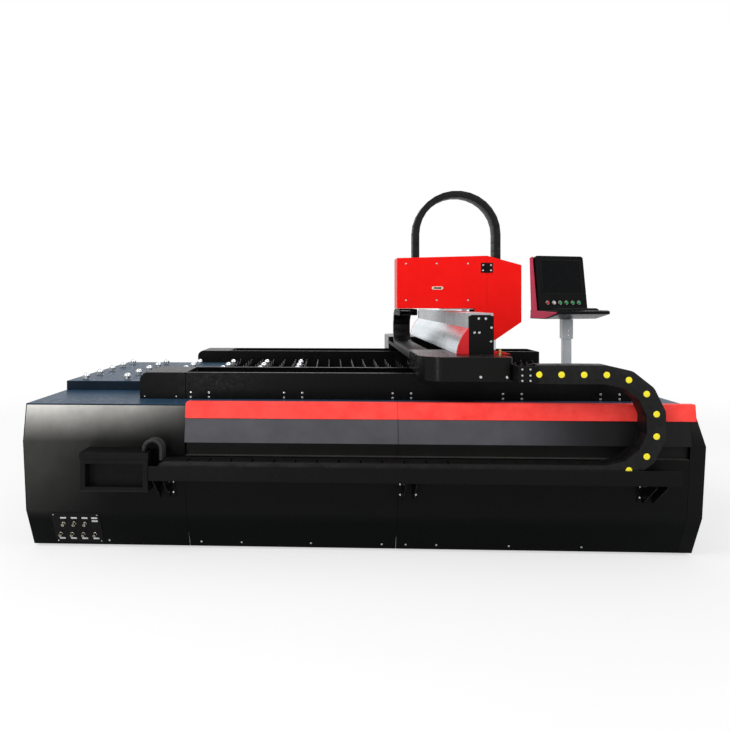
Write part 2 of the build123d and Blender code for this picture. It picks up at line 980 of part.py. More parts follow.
def carriage(front, back, trough_side, rail_place, corner_side):
    """One carriage between two depths, stepped up over its trough, with legs on its rail."""
    block((carriage_left, front, carriage_low), (carriage_right, back, carriage_high))
    uprights = edges().filter_by(Axis.Z)
    left = uprights.group_by(Axis.X)[0].sort_by(Axis.Y)
    right = uprights.group_by(Axis.X)[-1]
    outer = left[0] if corner_side < 0 else left[-1]
    inner = left[-1] if corner_side < 0 else left[0]
    fillet(outer, carriage_corner)
    fillet([inner, *right], carriage_small_corner)
    block(
        (carriage_left - 1, trough_side[0], carriage_low - 1),
        (carriage_right + 1, trough_side[1], carriage_step),
        mode=Mode.SUBTRACT,
    )
    for x in guide_places:
        block(
            (x - guide_length / 2 + guide_margin, rail_place - leg_width / 2, guide_top),
            (x + guide_length / 2 - guide_margin, rail_place + leg_width / 2, carriage_step + 1),
        )


with BuildPart() as front_carriage:
    carriage(
        carriage_front,
        carriage_back,
        (trough_front - trough_clearance, carriage_back + 1),
        rail_places[0],
        -1,
    )
finish(front_carriage.part, "front_carriage")

with BuildPart() as rear_carriage:
    carriage(
        rear_carriage_front,
        rear_carriage_back,
        (rear_carriage_front - 1, rear_trough_back + trough_clearance),
        rail_places[1],
        1,
    )
finish(rear_carriage.part, "rear_carriage")

groove = half_rail + guide_clearance
groove_top = trough_bed + rail_height + guide_clearance
with BuildPart() as x_guide_blocks:
    for place in rail_places:
        outline = [
            (place - guide_width / 2, guide_low),
            (place - groove, guide_low),
            (place - groove, groove_top),
            (place + groove, groove_top),
            (place + groove, guide_low),
            (place + guide_width / 2, guide_low),
            (place + guide_width / 2, guide_top),
            (place - guide_width / 2, guide_top),
        ]
        for x in guide_places:
            push(facing_right(x - guide_length / 2), outline, guide_length)
finish(x_guide_blocks.part, "x_guide_blocks")

# Servo motors hung under the carriages, beside the racks
motor_x = (carriage_left + carriage_right) / 2
motor_places = (trough_front + motor_inset, across_table(trough_front + motor_inset))
with BuildPart() as x_drive_motors:
    for place in motor_places:
        with Locations((motor_x, place, carriage_step - motor_height / 2)):
            Box(motor_side, motor_side, motor_height)
    chamfer(x_drive_motors.edges().filter_by(Axis.Z), motor_corner)
    for place in motor_places:
        with Locations((motor_x, place, carriage_step - motor_height - motor_shaft_length / 2)):
            Cylinder(motor_shaft_radius, motor_shaft_length)
finish(x_drive_motors.part, "x_drive_motors")

# Beam: a box section with its end plates, the curved cover on its left and a low cap on its right
with BuildPart() as beam:
    block((beam_left, beam_front, beam_low), (beam_right, beam_back, beam_high))
    block(
        (beam_left + beam_wall, beam_front - 1, beam_low + beam_wall),
        (beam_right - beam_wall, beam_back + 1, beam_high - beam_wall),
        mode=Mode.SUBTRACT,
    )
    middle_web = (beam_low + beam_high) / 2
    block(
        (beam_left + 1, beam_front, middle_web - beam_wall / 2),
        (beam_right - 1, beam_back, middle_web + beam_wall / 2),
    )
    for end in (beam_front, beam_back - beam_foot):
        block((beam_left, end, carriage_high), (beam_right, end + beam_foot, beam_low))
finish(beam.part, "beam")

with BuildPart() as beam_end_plates:
    for low_y in (beam_front - end_plate, beam_back):
        block(
            (end_plate_left, low_y, carriage_high),
            (end_plate_left + end_plate_width, low_y + end_plate, end_plate_high),
        )
finish(beam_end_plates.part, "beam_end_plates")

cover_foot = beam_left - beam_cover_reach
cover_middle = (beam_left - beam_cover_reach / 2, beam_cover_high - beam_cover_drop)
with BuildPart() as beam_cover:
    with BuildSketch(facing_front(beam_back)):
        with BuildLine():
            outer = ThreePointArc(
                (beam_left - skin_gap, beam_cover_high),
                cover_middle,
                (cover_foot, carriage_high + skin_gap),
            )
            Line(outer @ 1, (cover_foot + beam_cover_sheet, carriage_high + skin_gap))
            inner = ThreePointArc(
                (cover_foot + beam_cover_sheet, carriage_high + skin_gap),
                (cover_middle[0] + beam_cover_sheet * 0.8, cover_middle[1] - beam_cover_sheet),
                (beam_left - skin_gap, beam_cover_high - beam_cover_sheet * 1.6),
            )
            Line(inner @ 1, outer @ 0)
        make_face()
    extrude(amount=beam_back - beam_front)
finish(beam_cover.part, "beam_cover")

with BuildPart() as beam_end_caps:
    for back in (beam_front, beam_back + end_plate):
        with BuildSketch(facing_front(back)):
            with BuildLine():
                arc = ThreePointArc(
                    (end_plate_left - skin_gap, beam_cover_high),
                    (cover_middle[0] - 1, cover_middle[1]),
                    (cover_foot, carriage_high),
                )
                Polyline(arc @ 1, (end_plate_left - skin_gap, carriage_high), arc @ 0)
            make_face()
        extrude(amount=end_plate)
    low_cap_left = end_plate_left + end_plate_width + skin_gap
    for back in (beam_front, beam_back + end_plate):
        with BuildSketch(facing_front(back)):
            with BuildLine():
                arc = ThreePointArc(
                    (low_cap_left, low_cap_high),
                    (low_cap_left + low_cap_reach * 0.6, low_cap_high - 6),
                    (low_cap_left + low_cap_reach, carriage_high),
                )
                Polyline(arc @ 1, (low_cap_left, carriage_high), arc @ 0)
            make_face()
        extrude(amount=end_plate)
finish(beam_end_caps.part, "beam_end_caps")

cross_rail_start = carriage_back - cross_rail_overlap
cross_rail_end = rear_carriage_front + cross_rail_overlap
with BuildPart() as y_rails:
    for z in (cross_rail_low, cross_rail_high):
        block(
            (beam_right, cross_rail_start, z - cross_rail_face / 2),
            (beam_right + cross_rail_depth, cross_rail_end, z + cross_rail_face / 2),
        )
finish(y_rails.part, "y_rails")

with BuildPart() as y_rack:
    z = (cross_rail_low + cross_rail_high) / 2
    block(
        (beam_right, cross_rail_start, z - cross_rack_face / 2),
        (beam_right + cross_rack_depth, cross_rail_end, z + cross_rack_face / 2),
    )
finish(y_rack.part, "y_rack")

# Cross chain tray between the carriages, and the chain on it
cross_middle_x = cross_left + cross_width / 2
cross_floor = cross_low_pivot - cross_height / 2 - skin_gap
cross_edge = cross_width / 2 + cross_tray_gap
with BuildPart() as y_chain_tray:
    outline = folded(
        [
            (cross_middle_x - cross_edge, cross_floor + cross_tray_lip),
            (cross_middle_x - cross_edge, cross_floor - cross_tray_sheet),
            (cross_middle_x + cross_edge, cross_floor - cross_tray_sheet),
            (cross_middle_x + cross_edge, cross_floor + cross_tray_lip),
        ],
        cross_tray_sheet,
    )
    push(facing_front(rear_carriage_front), outline, rear_carriage_front - carriage_back)
finish(y_chain_tray.part, "y_chain_tray")

cross_link = make_link(cross_pitch, cross_height, cross_width, cross_plate, cross_turn_links)
with BuildPart() as y_chain_lower:
    start = Vector(cross_middle_x, cross_fixed_y, cross_low_pivot)
    with Locations(*run_of_links(start, y_axis, z_axis, cross_pitch, cross_lower_links)):
        add(cross_link)
finish(y_chain_lower.part, "y_chain_lower")

with BuildPart() as y_chain_bend:
    centre = Vector(cross_middle_x, cross_bend_y, cross_bend_z)
    with Locations(*turn_of_links(centre, y_axis, cross_radius, cross_turn_links, -90)):
        add(cross_link)
finish(y_chain_bend.part, "y_chain_bend")

with BuildPart() as y_chain_upper:
    start = Vector(cross_middle_x, cross_pull_y, cross_high_pivot)
    with Locations(*run_of_links(start, y_axis, z_axis, cross_pitch, cross_upper_links)):
        add(cross_link)
finish(y_chain_upper.part, "y_chain_upper")

# Head housing: a thin shell with an open front that the cover and the door close
head_outline = [
    (head_left, head_floor),
    (head_drop_left, head_floor),
    (head_drop_left, head_tip_z),
    (head_tip_x, head_tip_z),
    (head_right, head_right_low),
    (head_right, head_right_top),
    (seam_x, seam_top),
    (head_left, head_left_top),
]
head_middle_y = head_front + head_depth / 2
arch_radius = (arch_right_x - arch_left_x) / 2
arch_pitch = turn_pitch(arch_radius, arch_turn_links)
arch_centre_x = (arch_left_x + arch_right_x) / 2
arch_centre_z = arch_top - arch_thickness / 2 - arch_radius
arch_left_end = arch_centre_z - arch_left_links * arch_pitch
arch_right_end = arch_centre_z - arch_right_links * arch_pitch
barrel_hole = head_barrel_radius + barrel_hole_gap


def hollow(inset, back, front):
    """Cuts the housing's outline, drawn in by an inset, out of the shell between two depths."""
    with BuildSketch(facing_front(back)) as inside:
        with BuildLine():
            Polyline(*head_outline, close=True)
        make_face()
        offset(amount=-inset, kind=Kind.INTERSECTION)
    extrude(inside.sketch, amount=back - front, mode=Mode.SUBTRACT)


with BuildPart() as head_housing:
    push(facing_front(head_back), head_outline, head_depth - head_skin)
    hollow(head_skin, head_back - head_skin, head_front + 2 * head_skin)
    hollow(cover_flange, head_front + 2 * head_skin, head_front)
    block(
        (head_axis_x - barrel_hole, head_middle_y - barrel_hole, head_tip_z - 1),
        (head_axis_x + barrel_hole, head_middle_y + barrel_hole, head_tip_z + 2 * barrel_hole),
        mode=Mode.SUBTRACT,
    )
    block(
        (head_drop_left - 1, saddle_front - web_gap, saddle_low - 2),
        (head_drop_left + head_skin + 1, saddle_front + saddle_depth + web_gap, head_floor - 1),
        mode=Mode.SUBTRACT,
    )
    for x, gap in ((arch_left_x, arch_hole_snug), (arch_right_x, arch_hole_gap)):
        half_x = arch_thickness / 2 + gap
        half_y = arch_width / 2 + gap
        block(
            (x - half_x, head_middle_y - half_y, head_left_top - arch_hole_depth),
            (x + half_x, head_middle_y + half_y, seam_top + 1),
            mode=Mode.SUBTRACT,
        )
finish(head_housing.part, "head_housing")

cover_edge = seam_x - seam / 2
with BuildPart() as head_front_cover:
    push(
        facing_front(head_front + head_skin),
        [
            (head_left, head_floor),
            (head_drop_left, head_floor),
            (head_drop_left, head_tip_z),
            (cover_edge, head_tip_z),
            (cover_edge, seam_top),
            (head_left, head_left_top),
        ],
        head_skin,
    )
    with BuildSketch(facing_front(head_front + head_skin)):
        with Locations((pull_slot_x, pull_slot_z)):
            SlotOverall(pull_slot_length, pull_slot_height)
    extrude(amount=head_skin, mode=Mode.SUBTRACT)
finish(head_front_cover.part, "head_front_cover")

# Door over the right-hand part, on two hinges at the seam
hinge_y = head_front - hinge_knuckle_radius - hinge_gap
hinge_places = (hinge_height, head_tip_z + hinge_leaf_height)
third = hinge_leaf_height / 3
knuckle = third - hinge_gap
leaf_start = hinge_knuckle_radius + 1
door_edge = seam_x + seam / 2
with BuildPart() as head_door:
    push(
        facing_front(head_front + head_skin),
        [
            (door_edge, head_tip_z),
            (head_tip_x, head_tip_z),
            (head_right, head_right_low),
            (head_right, head_right_top),
            (door_edge, seam_top),
        ],
        head_skin,
    )
    for z in hinge_places:
        low = z - hinge_leaf_height / 2
        block(
            (seam_x + leaf_start, head_front - hinge_leaf, low),
            (seam_x + hinge_leaf_width, head_front, low + hinge_leaf_height),
        )
        for start in (low, low + 2 * third + hinge_gap):
            block(
                (seam_x + 1, hinge_y - hinge_leaf / 2, start),
                (seam_x + leaf_start + 2, head_front, start + knuckle),
            )
            with Locations((seam_x, hinge_y, start + knuckle / 2)):
                Cylinder(hinge_knuckle_radius, knuckle)
                Cylinder(hinge_pin_radius + pin_clearance, third, mode=Mode.SUBTRACT)
finish(head_door.part, "head_door")

with BuildPart() as hinge_plates:
    for z in hinge_places:
        low = z - hinge_leaf_height / 2
        block(
            (seam_x - hinge_leaf_width, head_front - hinge_leaf, low),
            (seam_x - leaf_start, head_front, low + hinge_leaf_height),
        )
        block(
            (seam_x - leaf_start - 2, hinge_y - hinge_leaf / 2, low + third),
            (seam_x - 1, head_front, low + 2 * third),
        )
        with Locations((seam_x, hinge_y, z)):
            Cylinder(hinge_knuckle_radius, third)
            Cylinder(hinge_pin_radius, hinge_leaf_height)
finish(hinge_plates.part, "hinge_plates")

# Saddle: guide blocks on the beam's rails, a flange under the housing and the Z plate inside it
saddle_back = saddle_front + saddle_depth
saddle_x = beam_right + saddle_inset
with BuildPart() as saddle:
    block((saddle_x, saddle_front, saddle_low), (saddle_x + saddle_plate, saddle_back, head_floor))
    block(
        (beam_left + saddle_plate, saddle_front, head_floor - saddle_flange),
        (head_drop_left - 1, saddle_back, head_floor),
    )
    for z in (cross_rail_low, cross_rail_high):
        block(
            (beam_right + saddle_block_gap, saddle_front, max(z - saddle_block_height / 2, saddle_low)),
            (saddle_x, saddle_back, z + saddle_block_height / 2),
        )
        groove_low = z - cross_rail_face / 2 - guide_clearance
        block(
            (beam_right, saddle_front - 1, groove_low),
            (
                beam_right + cross_rail_depth + guide_clearance,
                saddle_back + 1,
                groove_low + cross_rail_face + 2 * guide_clearance,
            ),
            mode=Mode.SUBTRACT,
        )
    block((z_plate_x, saddle_front, z_plate_low), (z_plate_x + saddle_plate, saddle_back, z_plate_high))
    for z in (z_plate_low + z_rail_end, head_floor - saddle_rib_drop):
        block((saddle_x + saddle_plate - 1, saddle_front, z), (z_plate_x + 1, saddle_back, z + saddle_plate))
    for y in (saddle_front + z_rail_inset, saddle_back - z_rail_inset - z_rail_width):
        block(
            (z_plate_x + saddle_plate, y, z_plate_low + z_rail_end),
            (z_plate_x + saddle_plate + z_rail_depth, y + z_rail_width, z_plate_high - z_rail_end),
        )
finish(saddle.part, "saddle")

# Z slide with the clamp for the cutting head and the arm that the arch chain pulls
slide_x = z_plate_x + saddle_plate + z_rail_depth + z_slide_gap
arm_top = arch_right_end - link_gap
clamp_low = z_slide_low + clamp_height
clamp_high = clamp_low + clamp_height
clamp_half = head_barrel_radius + clamp_wall
with BuildPart() as z_slide:
    block(
        (slide_x, saddle_front + z_slide_side, z_slide_low),
        (slide_x + saddle_plate, saddle_back - z_slide_side, z_slide_high),
    )
    block(
        (slide_x, head_middle_y - z_arm_width / 2, z_slide_high - 1),
        (slide_x + saddle_plate, head_middle_y + z_arm_width / 2, arm_top),
    )
    block(
        (slide_x, head_middle_y - arch_width / 2, arm_top - z_arm_sheet),
        (arch_right_x + arch_thickness / 2, head_middle_y + arch_width / 2, arm_top),
    )
    block(
        (slide_x + saddle_plate - 1, head_middle_y - clamp_half, clamp_low),
        (head_axis_x + clamp_half, head_middle_y + clamp_half, clamp_high),
    )
    with Locations((head_axis_x, head_middle_y, (clamp_low + clamp_high) / 2)):
        Cylinder(head_barrel_radius + barrel_clearance, clamp_height + 2, mode=Mode.SUBTRACT)
finish(z_slide.part, "z_slide")

nozzle_top = nozzle_tip + nozzle_length
head_top = clamp_high + head_top_height
head_cover_top = arm_top - z_arm_sheet - head_cover_gap
lower_barrel = head_barrel_radius - 4
head_axis_plane = Plane(origin=(head_axis_x, head_middle_y, 0), x_dir=x_axis, z_dir=-y_axis)
head_axis_line = Axis((head_axis_x, head_middle_y, 0), (0, 0, 1))
with BuildPart() as cutting_head:
    with BuildSketch(head_axis_plane):
        with BuildLine():
            Polyline(
                (0, nozzle_top),
                (nozzle_holder_radius, nozzle_top),
                (nozzle_holder_radius, nozzle_top + 12),
                (sensor_radius, nozzle_top + 34),
                (lower_barrel, nozzle_top + 44),
                (lower_barrel, clamp_low - 70),
                (head_barrel_radius, clamp_low - 62),
                (head_barrel_radius, head_top),
                (0, head_top),
                close=True,
            )
        make_face()
    revolve(axis=head_axis_line)
    block(
        (head_axis_x - head_cover_width / 2, head_middle_y - head_cover_depth / 2, head_top - 1),
        (head_axis_x + head_cover_width / 2, head_middle_y + head_cover_depth / 2, head_cover_top),
    )
finish(cutting_head.part, "cutting_head")

with BuildPart() as nozzle:
    with BuildSketch(head_axis_plane):
        with BuildLine():
            Polyline(
                (0, nozzle_tip),
                (nozzle_mouth_radius, nozzle_tip),
                (nozzle_radius, nozzle_tip + nozzle_cone),
                (nozzle_radius, nozzle_top),
                (0, nozzle_top),
                close=True,
            )
        make_face()
    revolve(axis=head_axis_line)
finish(nozzle.part, "nozzle")

# Arch chain from the housing's roof over to the Z slide
arch_link = make_link(arch_pitch, arch_thickness, arch_width, arch_plate, arch_turn_links)
with BuildPart() as arch_chain:
    centre = Vector(arch_centre_x, head_middle_y, arch_centre_z)
    left_end = Vector(arch_left_x, head_middle_y, arch_left_end)
    right_end = Vector(arch_right_x, head_middle_y, arch_right_end)
    places = turn_of_links(centre, x_axis, arch_radius, arch_turn_links, 0)
    places += run_of_links(left_end, z_axis, x_axis * -1, arch_pitch, arch_left_links)
    places += run_of_links(right_end, z_axis, x_axis, arch_pitch, arch_right_links)
    with Locations(*places):
        add(arch_link)
finish(arch_chain.part, "arch_chain")

# Console post on the bed's end wall, with the wider sleeve clamped round its top
end_wall_x = bed_right + end_lean
half_post = post_side / 2
with BuildPart() as console_post:
    block(
        (post_x - half_post, post_y - half_post, post_low),
        (post_x + half_post, post_y + half_post, post_top),
    )
    block(
        (end_wall_x, post_y - half_post, post_low),
        (post_x - half_post, post_y + half_post, post_low + bracket_height),
    )
    block(
        (end_wall_x, post_y - post_side, post_low - bracket_margin),
        (end_wall_x + bracket_sheet, post_y + post_side, post_low + bracket_height + bracket_margin),
    )
finish(console_post.part, "console_post")

half_sleeve = sleeve_side / 2
with BuildPart() as console_sleeve:
    block(
        (post_x - half_sleeve, post_y - half_sleeve, sleeve_low),
        (post_x + half_sleeve, post_y + half_sleeve, sleeve_high),
    )
    inside = half_sleeve - sleeve_wall
    block(
        (post_x - inside, post_y - inside, sleeve_low - 1),
        (post_x + inside, post_y + inside, sleeve_high - sleeve_wall),
        mode=Mode.SUBTRACT,
    )
finish(console_sleeve.part, "console_sleeve")

# Console: u runs along its width, v to its back, both turned about the post
turn = math.radians(console_turn)
lean = math.radians(console_lean)
across = Vector(math.cos(turn), math.sin(turn), 0)
backward = Vector(-math.sin(turn), math.cos(turn), 0)
console_base = Vector(post_x, post_y, 0) + across * console_shift
half_body = tray_width / 2 - trim_thickness
monitor_rise = monitor_high - monitor_low
lean_run = monitor_rise * math.tan(lean)


def console_side(place):
    """A plane across the console, drawn in v and Z, whose normal points along its width."""
    return Plane(origin=console_base + across * place, x_dir=backward, z_dir=across)


face_normal = backward * -math.cos(lean) + z_axis * math.sin(lean)
monitor_face = Plane(
    origin=console_base + backward * front_v + z_axis * monitor_low,
    x_dir=across,
    z_dir=face_normal,
)
tray_back_v = monitor_depth + 5
tray_front_v = tray_back_v - tray_depth
with BuildPart() as keyboard_tray:
    push(
        console_side(-half_body),
        [
            (tray_back_v, tray_high),
            (tray_back_v, tray_low),
            (tray_back_v - tray_flat, tray_low),
            (tray_front_v, tray_high - tray_front_height - tray_lip),
            (tray_front_v, tray_high - tray_lip),
            (tray_front_v + tray_edge, tray_high),
        ],
        2 * half_body,
    )
    with Locations((post_x, post_y, (sleeve_high + tray_low) / 2 + skin_gap / 2)):
        Cylinder(swivel_radius, tray_low - sleeve_high - skin_gap)
finish(keyboard_tray.part, "keyboard_tray")

button_places = [((i - (button_count - 1) / 2) * button_spacing, button_up) for i in range(button_count)]
with BuildPart() as monitor_shell:
    push(
        console_side(-monitor_width / 2),
        [
            (front_v, monitor_low - 2),
            (front_v + lean_run, monitor_high),
            (front_v + lean_run + monitor_top_depth, monitor_high - monitor_top_drop),
            (front_v + monitor_depth + monitor_foot_extra, monitor_low - 2),
        ],
        monitor_width,
    )
    top_edges = monitor_shell.edges().sort_by(Axis.Z)[-4:]
    depth_edges = [edge for edge in top_edges if abs(edge.tangent_at(0).dot(across)) < 0.5]
    fillet(depth_edges, monitor_corner)
    with BuildSketch(monitor_face):
        with Locations((0, screen_up + screen_height / 2)):
            Rectangle(screen_width + 1, screen_height + 1)
    extrude(amount=-screen_recess, mode=Mode.SUBTRACT)
    with BuildSketch(monitor_face):
        with Locations(*button_places):
            Circle(button_stem_radius + button_clearance)
    extrude(amount=-button_depth, mode=Mode.SUBTRACT)
finish(monitor_shell.part, "monitor_shell")

with BuildPart() as monitor_screen:
    with BuildSketch(monitor_face.offset(-screen_recess)):
        with Locations((0, screen_up + screen_height / 2)):
            Rectangle(screen_width, screen_height)
    extrude(amount=screen_recess - 1)
finish(monitor_screen.part, "monitor_screen")

trim_outline = [
    (tray_front_v + trim_setback, tray_high - trim_inset - tray_lip),
    (front_v + trim_setback, tray_high - trim_inset),
    (front_v + lean_run + trim_setback, monitor_high - trim_inset),
    (front_v + lean_run + monitor_top_depth - trim_inset, monitor_high - monitor_top_drop - trim_inset),
    (front_v + monitor_depth + monitor_foot_extra - trim_inset, tray_high + trim_inset),
    (tray_back_v - trim_inset, tray_low + trim_inset),
    (tray_back_v - tray_flat, tray_low + trim_inset),
    (tray_front_v + trim_setback, tray_high - tray_front_height - tray_lip + trim_inset),
]
with BuildPart() as console_trim:
    for start in (-half_body - trim_thickness, half_body):
        push(console_side(start), trim_outline, trim_thickness)
finish(console_trim.part, "console_trim")

# Push buttons under the screen
button_names = (
    "stop_button",
    "mode_button",
    "green_button_1",
    "green_button_2",
    "green_button_3",
    "green_button_4",
)
for place, button_name in zip(button_places, button_names):
    with BuildPart() as push_button:
        with BuildSketch(monitor_face.offset(button_travel + 1 - button_depth)):
            with Locations(place):
                Circle(button_stem_radius)
        extrude(amount=button_depth - button_travel - 1 + button_gap)
        with BuildSketch(monitor_face.offset(button_gap)):
            with Locations(place):
                Circle(button_radius)
        extrude(amount=button_cap)
    finish(push_button.part, button_name)
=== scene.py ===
import json
import math
import random
from functools import partial

import bmesh
import bpy
from mathutils import Matrix, Vector


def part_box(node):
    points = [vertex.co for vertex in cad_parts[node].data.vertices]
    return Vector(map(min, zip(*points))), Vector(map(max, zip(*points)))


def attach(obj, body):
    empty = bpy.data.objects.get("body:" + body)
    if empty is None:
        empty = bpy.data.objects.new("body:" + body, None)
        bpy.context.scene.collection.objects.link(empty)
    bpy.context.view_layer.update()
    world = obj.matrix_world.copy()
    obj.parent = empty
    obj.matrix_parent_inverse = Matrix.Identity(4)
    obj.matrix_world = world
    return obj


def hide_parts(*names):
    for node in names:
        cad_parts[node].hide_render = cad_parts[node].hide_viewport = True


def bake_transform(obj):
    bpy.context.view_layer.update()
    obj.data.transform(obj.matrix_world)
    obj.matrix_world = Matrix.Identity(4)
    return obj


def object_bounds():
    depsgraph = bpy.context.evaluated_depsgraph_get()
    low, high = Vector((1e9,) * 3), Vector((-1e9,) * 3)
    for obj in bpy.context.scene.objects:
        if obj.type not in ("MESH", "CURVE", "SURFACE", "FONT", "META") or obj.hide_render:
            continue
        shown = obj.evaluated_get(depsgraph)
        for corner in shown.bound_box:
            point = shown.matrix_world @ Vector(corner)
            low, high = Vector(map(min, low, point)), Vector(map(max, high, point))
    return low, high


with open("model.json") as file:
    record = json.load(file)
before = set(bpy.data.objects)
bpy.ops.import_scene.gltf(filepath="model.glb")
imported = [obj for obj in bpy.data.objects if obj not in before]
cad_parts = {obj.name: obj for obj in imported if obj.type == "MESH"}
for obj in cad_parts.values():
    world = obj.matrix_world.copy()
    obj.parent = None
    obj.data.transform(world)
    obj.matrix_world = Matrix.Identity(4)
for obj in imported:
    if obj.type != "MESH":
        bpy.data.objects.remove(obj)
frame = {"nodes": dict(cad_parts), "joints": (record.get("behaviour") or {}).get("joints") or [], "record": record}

random.seed(4)
nodes = frame["nodes"]
cad_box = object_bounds()
scene = bpy.context.scene
scene.view_settings.view_transform = "Standard"
X = Vector((1, 0, 0))
Y = Vector((0, 1, 0))
Z = Vector((0, 0, 1))
FRONT = -Y
MM = 0.001

# Camera: at the operator's side, level, turned a little to the left
camera_data = bpy.data.cameras.new("camera")
camera_data.lens = 32.05
camera_data.sensor_width = 36
camera_data.shift_x = 0.081
camera_data.shift_y = -0.0877
camera_data.clip_end = 100
camera = bpy.data.objects.new("camera", camera_data)
camera.location = (-0.33, -4.785, 1.432)
camera.rotation_euler = (math.radians(90), 0, math.radians(2.3))
scene.collection.objects.link(camera)
scene.camera = camera


# Colours and materials

def linear(code):
    """The linear colour of an sRGB hex value, with an alpha of one."""
    parts = [int(code[i:i + 2], 16) / 255 for i in (1, 3, 5)]
    return tuple(c / 12.92 if c <= 0.04045 else ((c + 0.055) / 1.055) ** 2.4 for c in parts) + (1.0,)


def add_node(owner, kind, settings, links):
    """Adds one node to a material or world, with its settings, and links its sockets to outputs."""
    node = owner.node_tree.nodes.new("ShaderNode" + kind)
    for name, value in settings.items():
        if isinstance(name, int) or name in node.inputs:
            node.inputs[name].default_value = value
        else:
            setattr(node, name, value)
    for name, output in links.items():
        owner.node_tree.links.new(output, node.inputs[name])
    return node


def new_material(name, settings):
    """A material with its own add_node, one principled shader and the place of each point."""
    material = bpy.data.materials.new(name)
    material.use_nodes = True
    material.node_tree.nodes.clear()
    add = partial(add_node, material)
    shader = add("BsdfPrincipled", settings, {})
    add("OutputMaterial", {}, {"Surface": shader.outputs[0]})
    place = add("TexCoord", {}, {}).outputs["Object"]
    return material, add, shader, place


def per_metre(size_mm):
    """The texture scale at which one feature is about that many millimetres across."""
    return 1000 / size_mm


def finished(material, shader, links):
    """The material, once its outputs are linked to the shader's sockets."""
    for socket, output in links.items():
        material.node_tree.links.new(output, shader.inputs[socket])
    return material


def black_powder_coat(name, black, dust_and_sheen_colour, dust_and_sheen_most, roughness, gloss, painted_sheen_film=None):
    """Powder coat on folded sheet: orange peel a few millimetres across, and a pale layer that dulls what
    faces up, partly dust and partly a painted sheen that lightens the tops as if lit from above. A painted
    sheen film says where along the bed that layer is strongest, where it has faded out, how much is left there,
    and how much sooner it fades for each metre lower down."""
    material, add, shader, place = new_material(name, {
        "Roughness": roughness, "IOR": 1.5, "Specular IOR Level": gloss,
    })
    cloud = add("TexNoise", {"Scale": per_metre(170), "Detail": 6, "Roughness": 0.62},
                {"Vector": place})
    peel = add("TexNoise", {"Scale": per_metre(5), "Detail": 2}, {"Vector": place})
    rub = add("TexNoise", {"Scale": per_metre(24), "Detail": 5, "Roughness": 0.7},
              {"Vector": place})
    facing = add("NewGeometry", {}, {})
    parts = add("SeparateXYZ", {}, {"Vector": facing.outputs["Normal"]})
    # A little dust and painted sheen on upright faces, and all of it on faces that lean well up, painted lighter
    # as if lit from above
    upward = add("MapRange", {"From Min": -0.2, "From Max": 0.24, "To Min": 0.0, "To Max": 1.0},
                 {"Value": parts.outputs["Z"]})
    settled_dust_and_sheen = add("Math", {"operation": "POWER", 1: 2.0}, {0: upward.outputs[0]})
    amount = add("Math", {"operation": "MULTIPLY", 1: dust_and_sheen_most}, {0: settled_dust_and_sheen.outputs[0]})
    if painted_sheen_film:
        # Painted sheen: strongest at one place along X and fading from there, sooner lower down
        thick, thin, left_over, slant = painted_sheen_film
        spot = add("SeparateXYZ", {}, {"Vector": place})
        run = add("Math", {"operation": "MULTIPLY_ADD", 1: -slant},
                  {0: spot.outputs["Z"], 2: spot.outputs["X"]})
        along = add("MapRange",
                    {"From Min": thick - slant * bed_top, "From Max": thin - slant * bed_top,
                     "To Min": 1.0, "To Max": left_over, "interpolation_type": "SMOOTHSTEP"},
                    {"Value": run.outputs[0]})
        amount = add("Math", {"operation": "MULTIPLY"}, {0: amount.outputs[0], 1: along.outputs[0]})
    patchy = add("MapRange", {"From Min": 0.3, "From Max": 0.72, "To Min": 0.7, "To Max": 1.0},
                 {"Value": cloud.outputs["Fac"]})
    # Dust and painted sheen together, in patches
    dust_and_sheen = add("Math", {"operation": "MULTIPLY"}, {0: amount.outputs[0], 1: patchy.outputs[0]})
    coat = add("Mix", {"data_type": "RGBA", 6: linear(black), 7: linear(dust_and_sheen_colour)},
               {0: dust_and_sheen.outputs[0]})
    dull = add("MapRange",
               {"From Min": 0.35, "From Max": 0.7, "To Min": roughness - 0.06,
                "To Max": roughness + 0.16},
               {"Value": rub.outputs["Fac"]})
    bump = add("Bump", {"Strength": 0.12, "Distance": 0.0006}, {"Height": peel.outputs["Fac"]})
    return finished(material, shader, {"Base Color": coat.outputs[2], "Roughness": dull.outputs[0],
                                       "Normal": bump.outputs[0]})


def satin_black_paint():
    """Sprayed black paint on welded steel: low sheen, fine spray grain."""
    material, add, shader, place = new_material("satin_black_paint", {
        "Roughness": 0.48, "IOR": 1.48, "Specular IOR Level": 0.08,
    })
    cloud = add("TexNoise", {"Scale": per_metre(60), "Detail": 6}, {"Vector": place})
    grain = add("TexNoise", {"Scale": per_metre(2), "Detail": 2}, {"Vector": place})
    ramp = add("Mix", {"data_type": "RGBA", 6: linear("#070707"), 7: linear("#121213")},
               {0: cloud.outputs["Fac"]})
    bump = add("Bump", {"Strength": 0.15, "Distance": 0.0003}, {"Height": grain.outputs["Fac"]})
    return finished(material, shader, {"Base Color": ramp.outputs[2], "Normal": bump.outputs[0]})


